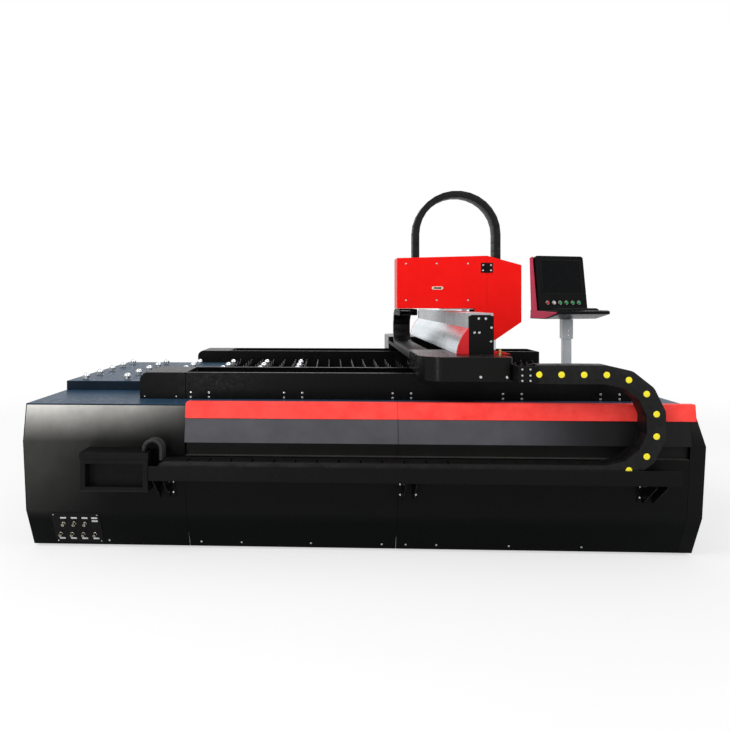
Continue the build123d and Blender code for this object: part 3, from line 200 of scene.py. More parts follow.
def red_powder_coat(name, deep, bright, grain_mm, grain_depth, roughness, gloss):
    """Red powder coat: a strong even colour, a little paler where thin, with its powder's grain, which
    is drawn as coarse as it needs to be to show."""
    material, add, shader, place = new_material(name, {
        "Roughness": roughness, "IOR": 1.5, "Specular IOR Level": gloss,
    })
    cloud = add("TexNoise", {"Scale": per_metre(90), "Detail": 7, "Roughness": 0.65},
                {"Vector": place})
    grain = add("TexNoise", {"Scale": per_metre(grain_mm), "Detail": 3, "Roughness": 0.6},
                {"Vector": place})
    both = add("Math", {"operation": "MULTIPLY_ADD", 1: 0.35},
               {0: grain.outputs["Fac"], 2: cloud.outputs["Fac"]})
    spread = add("MapRange", {"From Min": 0.45, "From Max": 0.9, "To Min": 0.0, "To Max": 1.0},
                 {"Value": both.outputs[0]})
    colour = add("Mix", {"data_type": "RGBA", 6: linear(deep), 7: linear(bright)},
                 {0: spread.outputs[0]})
    dull = add("MapRange", {"To Min": roughness - 0.05, "To Max": roughness + 0.1},
               {"Value": cloud.outputs["Fac"]})
    bump = add("Bump", {"Strength": 0.25, "Distance": grain_depth},
               {"Height": grain.outputs["Fac"]})
    return finished(material, shader, {
        "Base Color": colour.outputs[2],
        "Roughness": dull.outputs[0],
        "Normal": bump.outputs[0],
    })


def bare_metal(name, dark, light, roughness, streak, streak_mm, marks_mm, depth=0.0003):
    """Cut or ground bare metal: lines along one direction, drawn coarser than real ones so that they
    show, with cloudy handling marks. The streak is how much the lines are drawn out along X, Y and Z."""
    material, add, shader, place = new_material(name, {"Metallic": 1.0, "Roughness": roughness})
    stretched = add("Mapping", {"Scale": streak}, {"Vector": place})
    lines = add("TexNoise", {"Scale": per_metre(streak_mm), "Detail": 4},
                {"Vector": stretched.outputs[0]})
    marks = add("TexNoise", {"Scale": per_metre(marks_mm), "Detail": 6, "Roughness": 0.6},
                {"Vector": place})
    blend = add("Math", {"operation": "MULTIPLY"},
                {0: lines.outputs["Fac"], 1: marks.outputs["Fac"]})
    spread = add("MapRange", {"From Min": 0.14, "From Max": 0.38}, {"Value": blend.outputs[0]})
    colour = add("Mix", {"data_type": "RGBA", 6: linear(dark), 7: linear(light)},
                 {0: spread.outputs[0]})
    dull = add("MapRange", {"To Min": roughness * 0.8, "To Max": roughness * 1.3},
               {"Value": marks.outputs["Fac"]})
    bump = add("Bump", {"Strength": 0.12, "Distance": depth}, {"Height": lines.outputs["Fac"]})
    return finished(material, shader, {
        "Base Color": colour.outputs[2],
        "Roughness": dull.outputs[0],
        "Normal": bump.outputs[0],
    })


def laser_cut_slat_steel(ledge, top):
    """Laser-cut mild steel slats: dark mill scale, heat tint and grey slag towards the teeth."""
    material, add, shader, place = new_material("laser_cut_slat_steel", {
        "Metallic": 0.75, "Roughness": 0.5,
    })
    parts = add("SeparateXYZ", {}, {"Vector": place})
    height = add("MapRange", {"From Min": ledge, "From Max": top}, {"Value": parts.outputs["Z"]})
    spatter = add("TexNoise", {"Scale": per_metre(7), "Detail": 6, "Roughness": 0.7},
                  {"Vector": place})
    uneven = add("Math", {"operation": "MULTIPLY_ADD", 1: 0.35, 2: -0.17},
                 {0: spatter.outputs["Fac"]})
    burnt = add("Math", {"operation": "ADD"}, {0: height.outputs[0], 1: uneven.outputs[0]})
    ramp = add("ValToRGB", {}, {"Fac": burnt.outputs[0]})
    stops = ((0.0, "#121110"), (0.5, "#1B1A19"), (0.72, "#1F2738"), (0.86, "#3C2F20"), (1.0, "#4B4947"))
    for position, _ in stops[1:-1]:
        ramp.color_ramp.elements.new(position)
    for element, (position, code) in zip(ramp.color_ramp.elements, stops):
        element.position = position
        element.color = linear(code)
    bump = add("Bump", {"Strength": 0.4, "Distance": 0.0008}, {"Height": spatter.outputs["Fac"]})
    return finished(material, shader, {"Base Color": ramp.outputs[0], "Normal": bump.outputs[0]})


def moulded_nylon():
    """Glass-filled nylon chain links: matt black, a pale bloom from rubbing, a faint grain."""
    material, add, shader, place = new_material("glass_filled_nylon", {
        "Roughness": 0.46, "IOR": 1.53, "Specular IOR Level": 0.14,
    })
    rub = add("TexNoise", {"Scale": per_metre(30), "Detail": 8, "Roughness": 0.7},
              {"Vector": place})
    spread = add("MapRange", {"From Min": 0.42, "From Max": 0.75}, {"Value": rub.outputs["Fac"]})
    colour = add("Mix", {"data_type": "RGBA", 6: linear("#090909"), 7: linear("#171717")},
                 {0: spread.outputs[0]})
    grain = add("TexNoise", {"Scale": per_metre(1.5), "Detail": 2}, {"Vector": place})
    bump = add("Bump", {"Strength": 0.2, "Distance": 0.0002}, {"Height": grain.outputs["Fac"]})
    return finished(material, shader, {"Base Color": colour.outputs[2], "Normal": bump.outputs[0]})


def moulded_plastic(name, code, roughness, gloss=0.5):
    """Injection-moulded plastic: one clear colour, faint flow marks in its sheen."""
    material, add, shader, place = new_material(name, {
        "Roughness": roughness, "IOR": 1.49, "Specular IOR Level": gloss,
    })
    flow = add("TexNoise", {"Scale": per_metre(12), "Detail": 4}, {"Vector": place})
    darker = tuple(c * 0.82 for c in linear(code)[:3]) + (1.0,)
    colour = add("Mix", {"data_type": "RGBA", 6: darker, 7: linear(code)}, {0: flow.outputs["Fac"]})
    dull = add("MapRange", {"To Min": roughness * 0.8, "To Max": roughness * 1.25},
               {"Value": flow.outputs["Fac"]})
    return finished(material, shader, {"Base Color": colour.outputs[2], "Roughness": dull.outputs[0]})


def piano_lacquer():
    """Black lacquer on the console: deep black with a soft shine and faint wiping marks."""
    material, add, shader, place = new_material("piano_lacquer", {
        "Roughness": 0.3, "IOR": 1.52, "Specular IOR Level": 0.07,
    })
    wipe = add("Mapping", {"Scale": (1, 1, 0.2)}, {"Vector": place})
    marks = add("TexNoise", {"Scale": per_metre(20), "Detail": 6, "Roughness": 0.6},
                {"Vector": wipe.outputs[0]})
    dull = add("MapRange", {"From Min": 0.4, "From Max": 0.7, "To Min": 0.22, "To Max": 0.38},
               {"Value": marks.outputs["Fac"]})
    colour = add("Mix", {"data_type": "RGBA", 6: linear("#050505"), 7: linear("#0A0A0B")},
                 {0: marks.outputs["Fac"]})
    return finished(material, shader, {"Base Color": colour.outputs[2], "Roughness": dull.outputs[0]})


def screen_glass():
    """A switched-off display: nearly black behind coated glass, with finger marks in its sheen."""
    material, add, shader, place = new_material("display_glass", {
        "Roughness": 0.12, "IOR": 1.52, "Specular IOR Level": 0.06,
    })
    touch = add("TexNoise", {"Scale": per_metre(45), "Detail": 5, "Roughness": 0.55},
                {"Vector": place})
    colour = add("Mix", {"data_type": "RGBA", 6: linear("#050607"), 7: linear("#0A0C0E")},
                 {0: touch.outputs["Fac"]})
    dull = add("MapRange", {"From Min": 0.45, "From Max": 0.7, "To Min": 0.08, "To Max": 0.3},
               {"Value": touch.outputs["Fac"]})
    return finished(material, shader, {"Base Color": colour.outputs[2], "Roughness": dull.outputs[0]})


def light_grey_enamel():
    """Stoved light grey enamel on the console post: smooth, with faint cloudy grime."""
    material, add, shader, place = new_material("light_grey_enamel", {
        "Roughness": 0.34, "IOR": 1.5, "Coat Weight": 0.2, "Coat Roughness": 0.15,
    })
    grime = add("TexNoise", {"Scale": per_metre(80), "Detail": 8, "Roughness": 0.7},
                {"Vector": place})
    spread = add("MapRange", {"From Min": 0.35, "From Max": 0.7}, {"Value": grime.outputs["Fac"]})
    colour = add("Mix", {"data_type": "RGBA", 6: linear("#A3AAAF"), 7: linear("#B6BCC1")},
                 {0: spread.outputs[0]})
    return finished(material, shader, {"Base Color": colour.outputs[2]})


def rubber_hose():
    """Black rubber hose with a woven cover: its plies show as a fine pebbled grain."""
    material, add, shader, place = new_material("rubber_hose", {
        "Roughness": 0.6, "IOR": 1.5, "Specular IOR Level": 0.3,
    })
    weave = add("TexVoronoi", {"Scale": per_metre(4)}, {"Vector": place})
    colour = add("Mix", {"data_type": "RGBA", 6: linear("#0D0D0D"), 7: linear("#232323")},
                 {0: weave.outputs["Distance"]})
    bump = add("Bump", {"Strength": 0.3, "Distance": 0.0006}, {"Height": weave.outputs["Distance"]})
    return finished(material, shader, {"Base Color": colour.outputs[2], "Normal": bump.outputs[0]})


bed_start = cad_box[0][0]
bed_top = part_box("front_panels")[1].z
# The panels' near-white layer is painted sheen on their upward faces, strongest over the bed's left end and fading
# over 1.2 metres
panel_black = black_powder_coat("panel_powder_coat", "#050606", "#F2F0EA", 1.0, 0.32, 0.055,
                                painted_sheen_film=(bed_start, bed_start + 1.2, 0.06, 1.2))
# On the ends, troughs and carriages the pale layer on upward faces is partly dust and partly painted sheen
end_black = black_powder_coat("end_powder_coat", "#060707", "#4A4845", 0.6, 0.32, 0.065)
trough_black = black_powder_coat("trough_powder_coat", "#060606", "#2A2A2B", 0.5, 0.3, 0.07)
carriage_black = black_powder_coat("carriage_gloss_powder_coat", "#040404", "#3A3836", 0.4, 0.22, 0.1)
# The deck's blue-grey layer on its upward faces is a painted reflection of the sky, with some dust
deck_black = black_powder_coat("deck_powder_coat", "#0A0D10", "#304A62", 0.85, 0.34, 0.075)
# The fascia's grey layer is painted sheen, lightest left of x 0.55 and fading out by x 1.15
fascia_grey = black_powder_coat("fascia_powder_coat_painted_sheen", "#0C0C0D", "#5A5A60", 0.95, 0.38, 0.11,
                                painted_sheen_film=(0.55, 1.15, 0.05, 0))
satin_black = satin_black_paint()
housing_red = red_powder_coat("housing_red_powder_coat", "#EC0E0A", "#F4140F", 6, 0.0003, 0.3, 0.1)
stripe_red = red_powder_coat("stripe_textured_powder_coat", "#EA322C", "#FB4C44", 4, 0.0012, 0.42, 0.2)
cap_red = red_powder_coat("end_cap_red_powder_coat", "#C01A22", "#D4262C", 6, 0.0004, 0.34, 0.2)
trim_red = red_powder_coat("console_trim_powder_coat", "#C6294E", "#D8385E", 5, 0.0004, 0.32, 0.2)
rail_steel = bare_metal("ground_rail_steel", "#8E9196", "#C4C7CB", 0.26, (0.04, 1, 1), 1.5, 140)
cross_rail_steel = bare_metal("ground_cross_rail_steel", "#8E9196", "#C4C7CB", 0.26,
                              (1, 0.04, 1), 1.5, 140)
rack_steel = bare_metal("milled_rack_steel", "#4B4C50", "#86888C", 0.38, (1, 1, 0.1), 2, 60)
beam_aluminium = bare_metal("milled_beam_aluminium", "#8F9295", "#BFC2C5", 0.36, (1, 0.05, 1), 3, 120)
machined_aluminium = bare_metal("machined_aluminium", "#9A9CA0", "#C9CBCE", 0.34, (0.1, 1, 1), 2, 80)
bright_sheet = bare_metal("rolled_bright_aluminium", "#D3DBE2", "#EDF3F8", 0.27,
                          (1, 0.04, 1), 30, 300, 0.00002)
anodised = bare_metal("clear_anodised_aluminium", "#A8AAAE", "#CFD1D5", 0.3, (1, 1, 0.1), 2, 50)
ball_steel = bare_metal("polished_ball_steel", "#C9CCD0", "#F0F2F4", 0.08, (1, 1, 1), 6, 20)
cup_zinc = bare_metal("zinc_plated_cup", "#8A8C8E", "#BDBFC1", 0.3, (1, 1, 0.2), 2, 12)
screw_zinc = bare_metal("zinc_plated_screw", "#A7A9AB", "#DADCDD", 0.26, (1, 1, 1), 2, 9)
nickel_brass = bare_metal("nickel_plated_brass", "#A8A294", "#D8D3C6", 0.22, (1, 1, 1), 3, 14)
bare_brass = bare_metal("turned_brass", "#9C7A3A", "#D9B568", 0.25, (1, 1, 1), 3, 14)
copper = bare_metal("turned_copper", "#9A5A36", "#D28A5C", 0.27, (1, 1, 0.1), 1.5, 10)
foot_zinc = bare_metal("zinc_plated_foot", "#7F8285", "#B3B6B9", 0.36, (1, 1, 1), 3, 30)
nylon = moulded_nylon()
cap_yellow = moulded_plastic("yellow_acetal_cap", "#F2E21B", 0.3)
seal_blue = moulded_plastic("blue_end_seal", "#2747A8", 0.35)
seal_white = moulded_plastic("white_acetal_scraper", "#E4E6E8", 0.35)
button_red = moulded_plastic("red_button_polycarbonate", "#D21F1C", 0.2)
button_white = moulded_plastic("white_button_polycarbonate", "#E6E6E2", 0.22)
button_green = moulded_plastic("green_button_polycarbonate", "#1F9A4B", 0.2)
slot_surround = moulded_plastic("pale_slot_surround", "#E9D9C4", 0.35)
blank_label = moulded_plastic("blank_engraved_laminate", "#C6C8C8", 0.4)
black_plastic = moulded_plastic("black_moulded_plastic", "#0D0E0F", 0.4, 0.12)
mat_grey = moulded_plastic("dark_grey_key_plastic", "#1D1F22", 0.55, 0.2)
lacquer = piano_lacquer()
display = screen_glass()
enamel = light_grey_enamel()
hose_rubber = rubber_hose()
slat_low, slat_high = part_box("cutting_slats")
slat_steel = laser_cut_slat_steel(slat_low.z, slat_high.z)

# The CAD nodes that have each finish, with the width of their broken edges in millimetres
node_finish = {
    satin_black: {"bed_frame": 4, "slat_frame": 1.5, "cable_box": 2, "connector_panel": 0.8,
                  "x_drive_motors": 1.5, "beam_end_plates": 1.5, "y_chain_tray": 1,
                  "x_chain_bracket": 1, "hinge_plates": 0.5},
    foot_zinc: {"levelling_feet": 1.5},
    panel_black: {"front_panels": 1.2, "rear_panels": 1.2},
    end_black: {"end_panels": 1.2},
    deck_black: {"deck_plate": 1.5, "ball_plate": 2},
    stripe_red: {"front_stripes": 2.5},
    fascia_grey: {"front_fascia": 2.5},
    trough_black: {"rail_troughs": 1.5, "trough_end_caps": 3, "chain_tray": 1.2},
    rail_steel: {"x_rails": 1, "x_guide_blocks": 1.5},
    slat_steel: {"cutting_slats": 0},
    nickel_brass: {"gas_fittings": 0.6},
    enamel: {"console_post": 4, "console_sleeve": 3},
    carriage_black: {"front_carriage": 3, "rear_carriage": 3},
    beam_aluminium: {"beam": 2},
    bright_sheet: {"beam_cover": 0},
    cap_red: {"beam_end_caps": 1.5},
    cross_rail_steel: {"y_rails": 1},
    machined_aluminium: {"saddle": 1, "z_slide": 1},
    housing_red: {"head_housing": 1, "head_front_cover": 1, "head_door": 0.6},
    anodised: {"cutting_head": 1},
    copper: {"nozzle": 0.5},
    lacquer: {"keyboard_tray": 4, "monitor_shell": 5},
    display: {"monitor_screen": 0.6},
    trim_red: {"console_trim": 3},
    button_red: {"stop_button": 2},
    button_white: {"mode_button": 2},
    button_green: {"green_button_1": 2, "green_button_2": 2, "green_button_3": 2,
                   "green_button_4": 2},
}


def dress(name, material, edge_mm):
    """Gives a CAD node its material, broken edges and shading that follows its faces."""
    obj = nodes[name]
    obj.data.materials.clear()
    obj.data.materials.append(material)
    obj.data.polygons.foreach_set("material_index", [0] * len(obj.data.polygons))
    obj.data.polygons.foreach_set("use_smooth", [True] * len(obj.data.polygons))
    weld = obj.modifiers.new("weld", "WELD")
    weld.merge_threshold = 0.00002
    if edge_mm:
        flat = obj.modifiers.new("flat_faces", "DECIMATE")
        flat.decimate_type = "DISSOLVE"
        flat.angle_limit = math.radians(0.5)
        edge = obj.modifiers.new("broken_edge", "BEVEL")
        edge.width = edge_mm * MM
        edge.segments = 2
        edge.limit_method = "ANGLE"
        edge.angle_limit = math.radians(32)
        edge.miter_outer = "MITER_ARC"
    else:
        split = obj.modifiers.new("sharp_edges", "EDGE_SPLIT")
        split.split_angle = math.radians(32)
    shade = obj.modifiers.new("face_shading", "WEIGHTED_NORMAL")
    shade.weight = 100
    shade.keep_sharp = True


for finish, widths in node_finish.items():
    for node_name, edge_mm in widths.items():
        dress(node_name, finish, edge_mm)


def blacken_hinge_leaves():
    """The hinge leaves and knuckles on the door are black like their other halves."""
    door = nodes["head_door"].data
    door.materials.append(satin_black)
    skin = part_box("head_front_cover")[0].y
    for polygon in door.polygons:
        if polygon.center.y < skin - 0.0001:
            polygon.material_index = 1


blacken_hinge_leaves()


# Shapes that repeat

def turned(profile, sides):
    """A form turned round its Z axis from a run of radius and height pairs, given in metres."""
    form = bmesh.new()
    rings = []
    for radius, height in profile:
        if radius < 1e-7:
            rings.append([form.verts.new((0, 0, height))])
            continue
        ring = []
        for i in range(sides):
            angle = 2 * math.pi * i / sides
            ring.append(form.verts.new((radius * math.cos(angle), radius * math.sin(angle), height)))
        rings.append(ring)
    for low, high in zip(rings, rings[1:]):
        for i in range(sides):
            j = (i + 1) % sides
            corners = [low[i % len(low)], low[j % len(low)], high[j % len(high)], high[i % len(high)]]
            form.faces.new(list(dict.fromkeys(corners)))
    bmesh.ops.recalc_face_normals(form, faces=form.faces)
    return form


def slab(outline, thickness, edge):
    """A plate cut to an outline of (x, y) points, centred on its own plane, with its rims broken."""
    form = bmesh.new()
    low = [form.verts.new((x, y, -thickness / 2)) for x, y in outline]
    face = form.faces.new(low)
    grown = bmesh.ops.extrude_face_region(form, geom=[face])
    for item in grown["geom"]:
        if isinstance(item, bmesh.types.BMVert):
            item.co.z += thickness
    bmesh.ops.recalc_face_normals(form, faces=form.faces)
    if edge:
        rims = [e for e in form.edges if abs(e.verts[0].co.z - e.verts[1].co.z) < 1e-7]
        bmesh.ops.bevel(form, geom=rims, offset=edge, segments=2, affect="EDGES", profile=0.5)
    return form


def rounded_bar(size, edge):
    """A solid bar of that size, centred, with all its edges rounded."""
    form = bmesh.new()
    bmesh.ops.create_cube(form, size=1)
    bmesh.ops.scale(form, vec=size, verts=form.verts)
    bmesh.ops.bevel(form, geom=form.edges[:], offset=edge, segments=2, affect="EDGES", profile=0.5)
    return form


def stadium(length, radius, steps):
    """A long round-ended outline, its two end centres that length apart."""
    points = []
    for centre, start in ((length / 2, -90), (-length / 2, 90)):
        for i in range(steps + 1):
            angle = math.radians(start + 180 * i / steps)
            points.append((centre + radius * math.cos(angle), radius * math.sin(angle)))
    return points


def copies(form, places):
    """One form repeated at each place, as a new form."""
    pattern = bpy.data.meshes.new("pattern")
    form.to_mesh(pattern)
    form.free()
    whole = bmesh.new()
    for place in places:
        start = len(whole.verts)
        whole.from_mesh(pattern)
        whole.verts.ensure_lookup_table()
        bmesh.ops.transform(whole, matrix=place, verts=whole.verts[start:])
    bpy.data.meshes.remove(pattern)
    return whole


def together(*forms):
    """Several forms as one."""
    whole = bmesh.new()
    for form in forms:
        pattern = bpy.data.meshes.new("pattern")
        form.to_mesh(pattern)
        form.free()
        whole.from_mesh(pattern)
        bpy.data.meshes.remove(pattern)
    return whole


def piece(name, form, material, body=None, sharp=34):
    """A finished piece: its mesh, material and shading, riding on a body."""
    mesh = bpy.data.meshes.new(name)
    form.to_mesh(mesh)
    form.free()
    mesh.materials.append(material)
    mesh.shade_smooth()
    mesh.set_sharp_from_angle(angle=math.radians(sharp))
    obj = bpy.data.objects.new(name, mesh)
    scene.collection.objects.link(obj)
    if body:
        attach(obj, body)
    return obj


def at(point, out=Z, along=X):
    """A place whose Z points out of a surface and whose X runs along it."""
    out = out.normalized()
    across = out.cross(along).normalized()
    along = across.cross(out)
    turn = Matrix((along, across, out)).transposed().to_4x4()
    return Matrix.Translation(point) @ turn


def screw_head(radius, height):
    """A pan-head screw with a hollow for its key."""
    return turned([
        (radius, 0), (radius, height * 0.5), (radius * 0.86, height * 0.85), (radius * 0.55, height),
        (radius * 0.4, height), (radius * 0.36, height * 0.45), (0, height * 0.4),
    ], 14)


def screws(name, radius, height, places, body, material=None):
    """Screw heads at places on their surfaces."""
    return piece(name, copies(screw_head(radius, height), places), material or screw_zinc, body)


# Energy chains

def link_forms(pitch, height, width, plate, outside, slim):
    """One moulded link: two side plates, and a crossbar over and under the hoses."""
    step_in = 0.0006
    y = width / 2 - plate / 2 - (0 if outside else step_in)
    thickness = plate - 2 * slim
    flat = Matrix.Rotation(math.radians(90), 4, "X")
    side = slab(stadium(pitch, height / 2 - 0.0005 - slim, 9), thickness, plate * 0.2)
    sides = copies(side, [Matrix.Translation((0, s * y, 0)) @ flat for s in (-1, 1)])
    bar = rounded_bar((pitch * 0.94, 2 * y - plate, thickness), plate * 0.25)
    rib = rounded_bar((pitch * 0.12, 2 * y - plate, thickness + plate * 0.4), plate * 0.3)
    height_of_bar = height / 2 - plate * 0.55
    height_of_rib = height_of_bar - plate * 0.25
    bars = copies(bar, [Matrix.Translation((0, 0, s * height_of_bar)) for s in (-1, 1)])
    ribs = copies(rib, [Matrix.Translation((0, 0, s * height_of_rib)) for s in (-1, 1)])
    return together(sides, bars, ribs)


def chain_pieces(name, places, shape, inner_first=0, last_pivot=False, slim=0.0):
    """A run of links, every second one set in by a hair, and the caps on its pivots. Slim links fit
    inside others."""
    pitch, height, width, plate, cap_radius = shape
    outer = copies(link_forms(pitch, height, width, plate, True, slim), places[inner_first::2])
    inner = copies(link_forms(pitch, height, width, plate, False, slim), places[1 - inner_first::2])
    links = piece(name, together(outer, inner), nylon)
    ring = turned([(cap_radius * 1.3, 0), (cap_radius * 1.3, 0.0012), (cap_radius * 1.05, 0.0018),
                   (cap_radius, 0.0006)], 24)
    dome = turned([(cap_radius, 0), (cap_radius, 0.0012), (cap_radius * 0.8, 0.0026), (0, 0.0034)], 24)
    sunk = 0.0015 + 1.8 * slim
    pivots = [(place, -pitch / 2) for place in places]
    if last_pivot:
        pivots.append((places[-1], pitch / 2))
    cap_places = []
    for place, shift in pivots:
        for side in (-1, 1):
            spot = place @ Vector((shift, side * width / 2, 0))
            out = place.to_3x3() @ Vector((0, side, 0))
            cap_places.append(at(spot - out * sunk, out, Z if abs(out.z) < 0.9 else X))
    rings = piece(name + "_pivot_rings", copies(ring, cap_places), black_plastic)
    cap_plastic = cap_yellow if cap_radius > 0.012 else nylon
    caps = piece(name + "_pivot_caps", copies(dome, cap_places), cap_plastic)
    return [links, rings, caps]


def straight(start, along, out, pitch, count):
    """Places of links on a straight run."""
    return [at(start + along * (pitch * (i + 0.5)), out, along) for i in range(count)]


def half_turn(centre, axis, radius, count, first):
    """Places of links on a half turn, from an angle to an axis, rising with Z."""
    step = math.pi / count
    places = []
    for i in range(count):
        angle = math.radians(first) + (i + 0.5) * step
        out = axis * math.cos(angle) + Z * math.sin(angle)
        along = Z * math.cos(angle) - axis * math.sin(angle)
        places.append(at(centre + out * (radius * math.cos(step / 2)), out, along))
    return places


def carry(part):
    """Bakes a whole piece's place into its mesh, so that it rides on no body."""
    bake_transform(part)


def chain_run(name, places, shape, inner_first, held, turn, shortens, lengthens):
    """A straight run between its held end and the turn, which moves half as far as the body that
    pulls the chain. The links near the turn roll with it and slide over held ones as the run
    shortens. Slim spare links lie inside them and ride on no body.
    Both amounts are given in links."""
    rolling = math.ceil(shortens) + 1
    still = len(places) - rolling
    first = chain_pieces(name + "_held", places[:still], shape, inner_first, slim=0.0004)
    for part in first:
        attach(part, held)
    for part in chain_pieces(name + "_rolling", places[still:], shape, (inner_first + still) % 2):
        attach(part, turn)
    spares = rolling + math.ceil(lengthens) - 1
    step = places[1].translation - places[0].translation
    for i in range(spares):
        place = Matrix.Translation(step * ((rolling - 1) * i / spares)) @ places[still]
        for part in chain_pieces(f"{name}_spare_{i + 1}", [place], shape, i % 2, slim=0.0015):
            carry(part)
    return first[0]


def chain(prefix, axis, width, plate, turn_links, cap_radius, joint, base, moving):
    """The three runs of a chain that rolls along an axis, each in place of its CAD node."""
    low_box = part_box(prefix + "_lower")
    high_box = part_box(prefix + "_upper")
    middle_low = (low_box[0] + low_box[1]) / 2
    middle_high = (high_box[0] + high_box[1]) / 2
    height = low_box[1].z - low_box[0].z
    radius = (middle_high.z - middle_low.z) / 2
    pitch = 2 * radius * math.sin(math.pi / 2 / turn_links)
    end = low_box[1].dot(axis)
    low_count = round((end - low_box[0].dot(axis)) / pitch)
    high_count = round((end - high_box[0].dot(axis)) / pitch)
    side = middle_low - axis * middle_low.dot(axis)
    low_start = side + axis * (end - low_count * pitch)
    high_start = Vector((side.x, side.y, middle_high.z)) + axis * (end - high_count * pitch)
    centre = Vector((side.x, side.y, middle_low.z + radius)) + axis * end
    shape = (pitch, height, width, plate, cap_radius)
    turn = prefix + "_turn"
    travel = next(j["range_m"] for j in frame["record"]["behaviour"]["joints"] if j["name"] == joint)
    back, ahead = -travel[0] / 2 / pitch, travel[1] / 2 / pitch
    lower = chain_run(prefix + "_lower_links", straight(low_start, axis, Z, pitch, low_count), shape, 0,
                      base, turn, back, ahead)
    bend_places = half_turn(centre, axis, radius, turn_links, -90)
    bend = chain_pieces(prefix + "_bend_links", bend_places, shape, low_count % 2, last_pivot=True)
    for part in bend:
        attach(part, turn)
    upper_first = (low_count + turn_links + high_count + 1) % 2
    upper = chain_run(prefix + "_upper_links", straight(high_start, axis, Z, pitch, high_count), shape,
                      upper_first, moving, turn, ahead, back)
    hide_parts(prefix + "_lower")
    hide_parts(prefix + "_bend")
    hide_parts(prefix + "_upper")


def arch_over_head():
    """The chain that arches from the housing's roof to the cutting head's slide."""
    low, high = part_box("arch_chain")
    thickness = 0.048
    width = high.y - low.y
    radius = (high.x - low.x - thickness) / 2
    turn_links = 15
    left_links = 3
    right_links = 5
    pitch = 2 * radius * math.sin(math.pi / 2 / turn_links)
    centre = Vector(((low.x + high.x) / 2, (low.y + high.y) / 2, high.z - thickness / 2 - radius))
    left = centre - X * radius
    right = centre + X * radius
    places = straight(right - Z * (right_links * pitch), Z, X, pitch, right_links)
    places += half_turn(centre, X, radius, turn_links, 0)
    places += straight(left - Z * (left_links * pitch), Z, -X, pitch, left_links)[::-1]
    parts = chain_pieces("arch_links", places, (pitch, thickness, width, 0.005, 0.005))
    for part in parts:
        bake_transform(part)
    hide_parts("arch_chain")


chain("x_chain", X, 0.110, 0.009, 7, 0.0175, "gantry_travel", "bed", "gantry")
chain("y_chain", Y, 0.130, 0.006, 7, 0.006, "head_travel", "gantry", "head")
arch_over_head()


# Ball transfer units

def ball_units():
    """Polished balls in pressed cups, in rows over the loading plate and the slat table."""
    rows = 6
    columns = 5
    row_spacing = 0.278
    column_spacing = 0.2575
    cup_radius = 0.025
    ball_radius = 0.0218
    ball_centre = 0.022
    low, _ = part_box("ball_transfer_units")
    places = []
    for i in range(rows):
        for j in range(columns):
            x = low.x + cup_radius + i * row_spacing
            y = low.y + cup_radius + j * column_spacing
            turn = Matrix.Rotation(random.uniform(0, 6), 4, "Z")
            places.append(Matrix.Translation((x, y, low.z)) @ turn)
    cup_mm = [(0, 0.3), (24.2, 0.3), (25, 1.2), (25, 3), (22.4, 4.5), (22.0, 14), (23.6, 16),
              (23.8, 23), (23.0, 25.6), (22.2, 26), (21.7, 24.8), (21.5, 22)]
    cup = turned([(r * MM, h * MM) for r, h in cup_mm], 32)
    ball = []
    for k in range(12):
        angle = math.radians(-12 + 102 * k / 12)
        ball.append((ball_radius * math.cos(angle), ball_centre + ball_radius * math.sin(angle)))
    ball.append((0, ball_centre + ball_radius))
    cups = piece("ball_cups", copies(cup, places), cup_zinc, "bed")
    piece("transfer_balls", copies(turned(ball, 32), places), ball_steel, "bed")
    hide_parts("ball_transfer_units")


ball_units()


# Rails and racks

def toothed_bar(name, low, high, along, tooth_axis, body):
    """A rack: its bar, with straight teeth cut across one face."""
    pitch = 0.00628 * 2
    depth = 0.008
    length = (high - low).dot(along)
    across = tooth_axis.cross(along)
    breadth = abs((high - low).dot(across))
    height = abs((high - low).dot(tooth_axis))
    count = int(length / pitch)
    outline = [(0, 0), (length, 0), (length, height - depth)]
    for i in range(count, 0, -1):
        base = i * pitch - (count * pitch - length)
        outline.append((base - pitch * 0.12, height - depth))
        outline.append((base - pitch * 0.34, height))
        outline.append((base - pitch * 0.62, height))
        outline.append((base - pitch * 0.86, height - depth))
    outline.append((0, height - depth))
    form = slab(outline, breadth, 0)
    middle = (low + high) / 2
    start = middle - along * (length / 2) - tooth_axis * (height / 2)
    place = Matrix((along, tooth_axis, along.cross(tooth_axis))).transposed().to_4x4()
    bmesh.ops.transform(form, matrix=Matrix.Translation(start) @ place, verts=form.verts)
    return piece(name, form, rack_steel, body, sharp=20)


def racks():
    """The racks in both troughs, teeth up, and the one on the beam, teeth facing the saddle."""
    side = 0.030
    low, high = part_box("x_racks")
    front = toothed_bar("front_rack_teeth", low, Vector((high.x, low.y + side, high.z)), X, Z, "bed")
    toothed_bar("rear_rack_teeth", Vector((low.x, high.y - side, low.z)), high, X, Z, "bed")
    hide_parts("x_racks")
    low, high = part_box("y_rack")
    beam_rack = toothed_bar("beam_rack_teeth", low, high, Y, X, "gantry")
    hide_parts("y_rack")


def rail_plugs():
    """The plugged bolt holes along the rails, at a rail maker's usual spacing."""
    spacing = 0.100
    plug = turned([(0.0075, 0), (0.0075, 0.0004), (0.0062, 0.0006), (0, 0.0006)], 18)
    low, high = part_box("x_rails")
    half = 0.017
    count = int((high.x - low.x) / spacing)
    places = []
    for i in range(count):
        for y in (low.y + half, high.y - half):
            places.append(at(Vector((low.x + (i + 0.5) * spacing, y, high.z))))
    piece("rail_plugs", copies(plug, places), foot_zinc, "bed")


racks()
rail_plugs()


# Hoses between the cable box and the chain

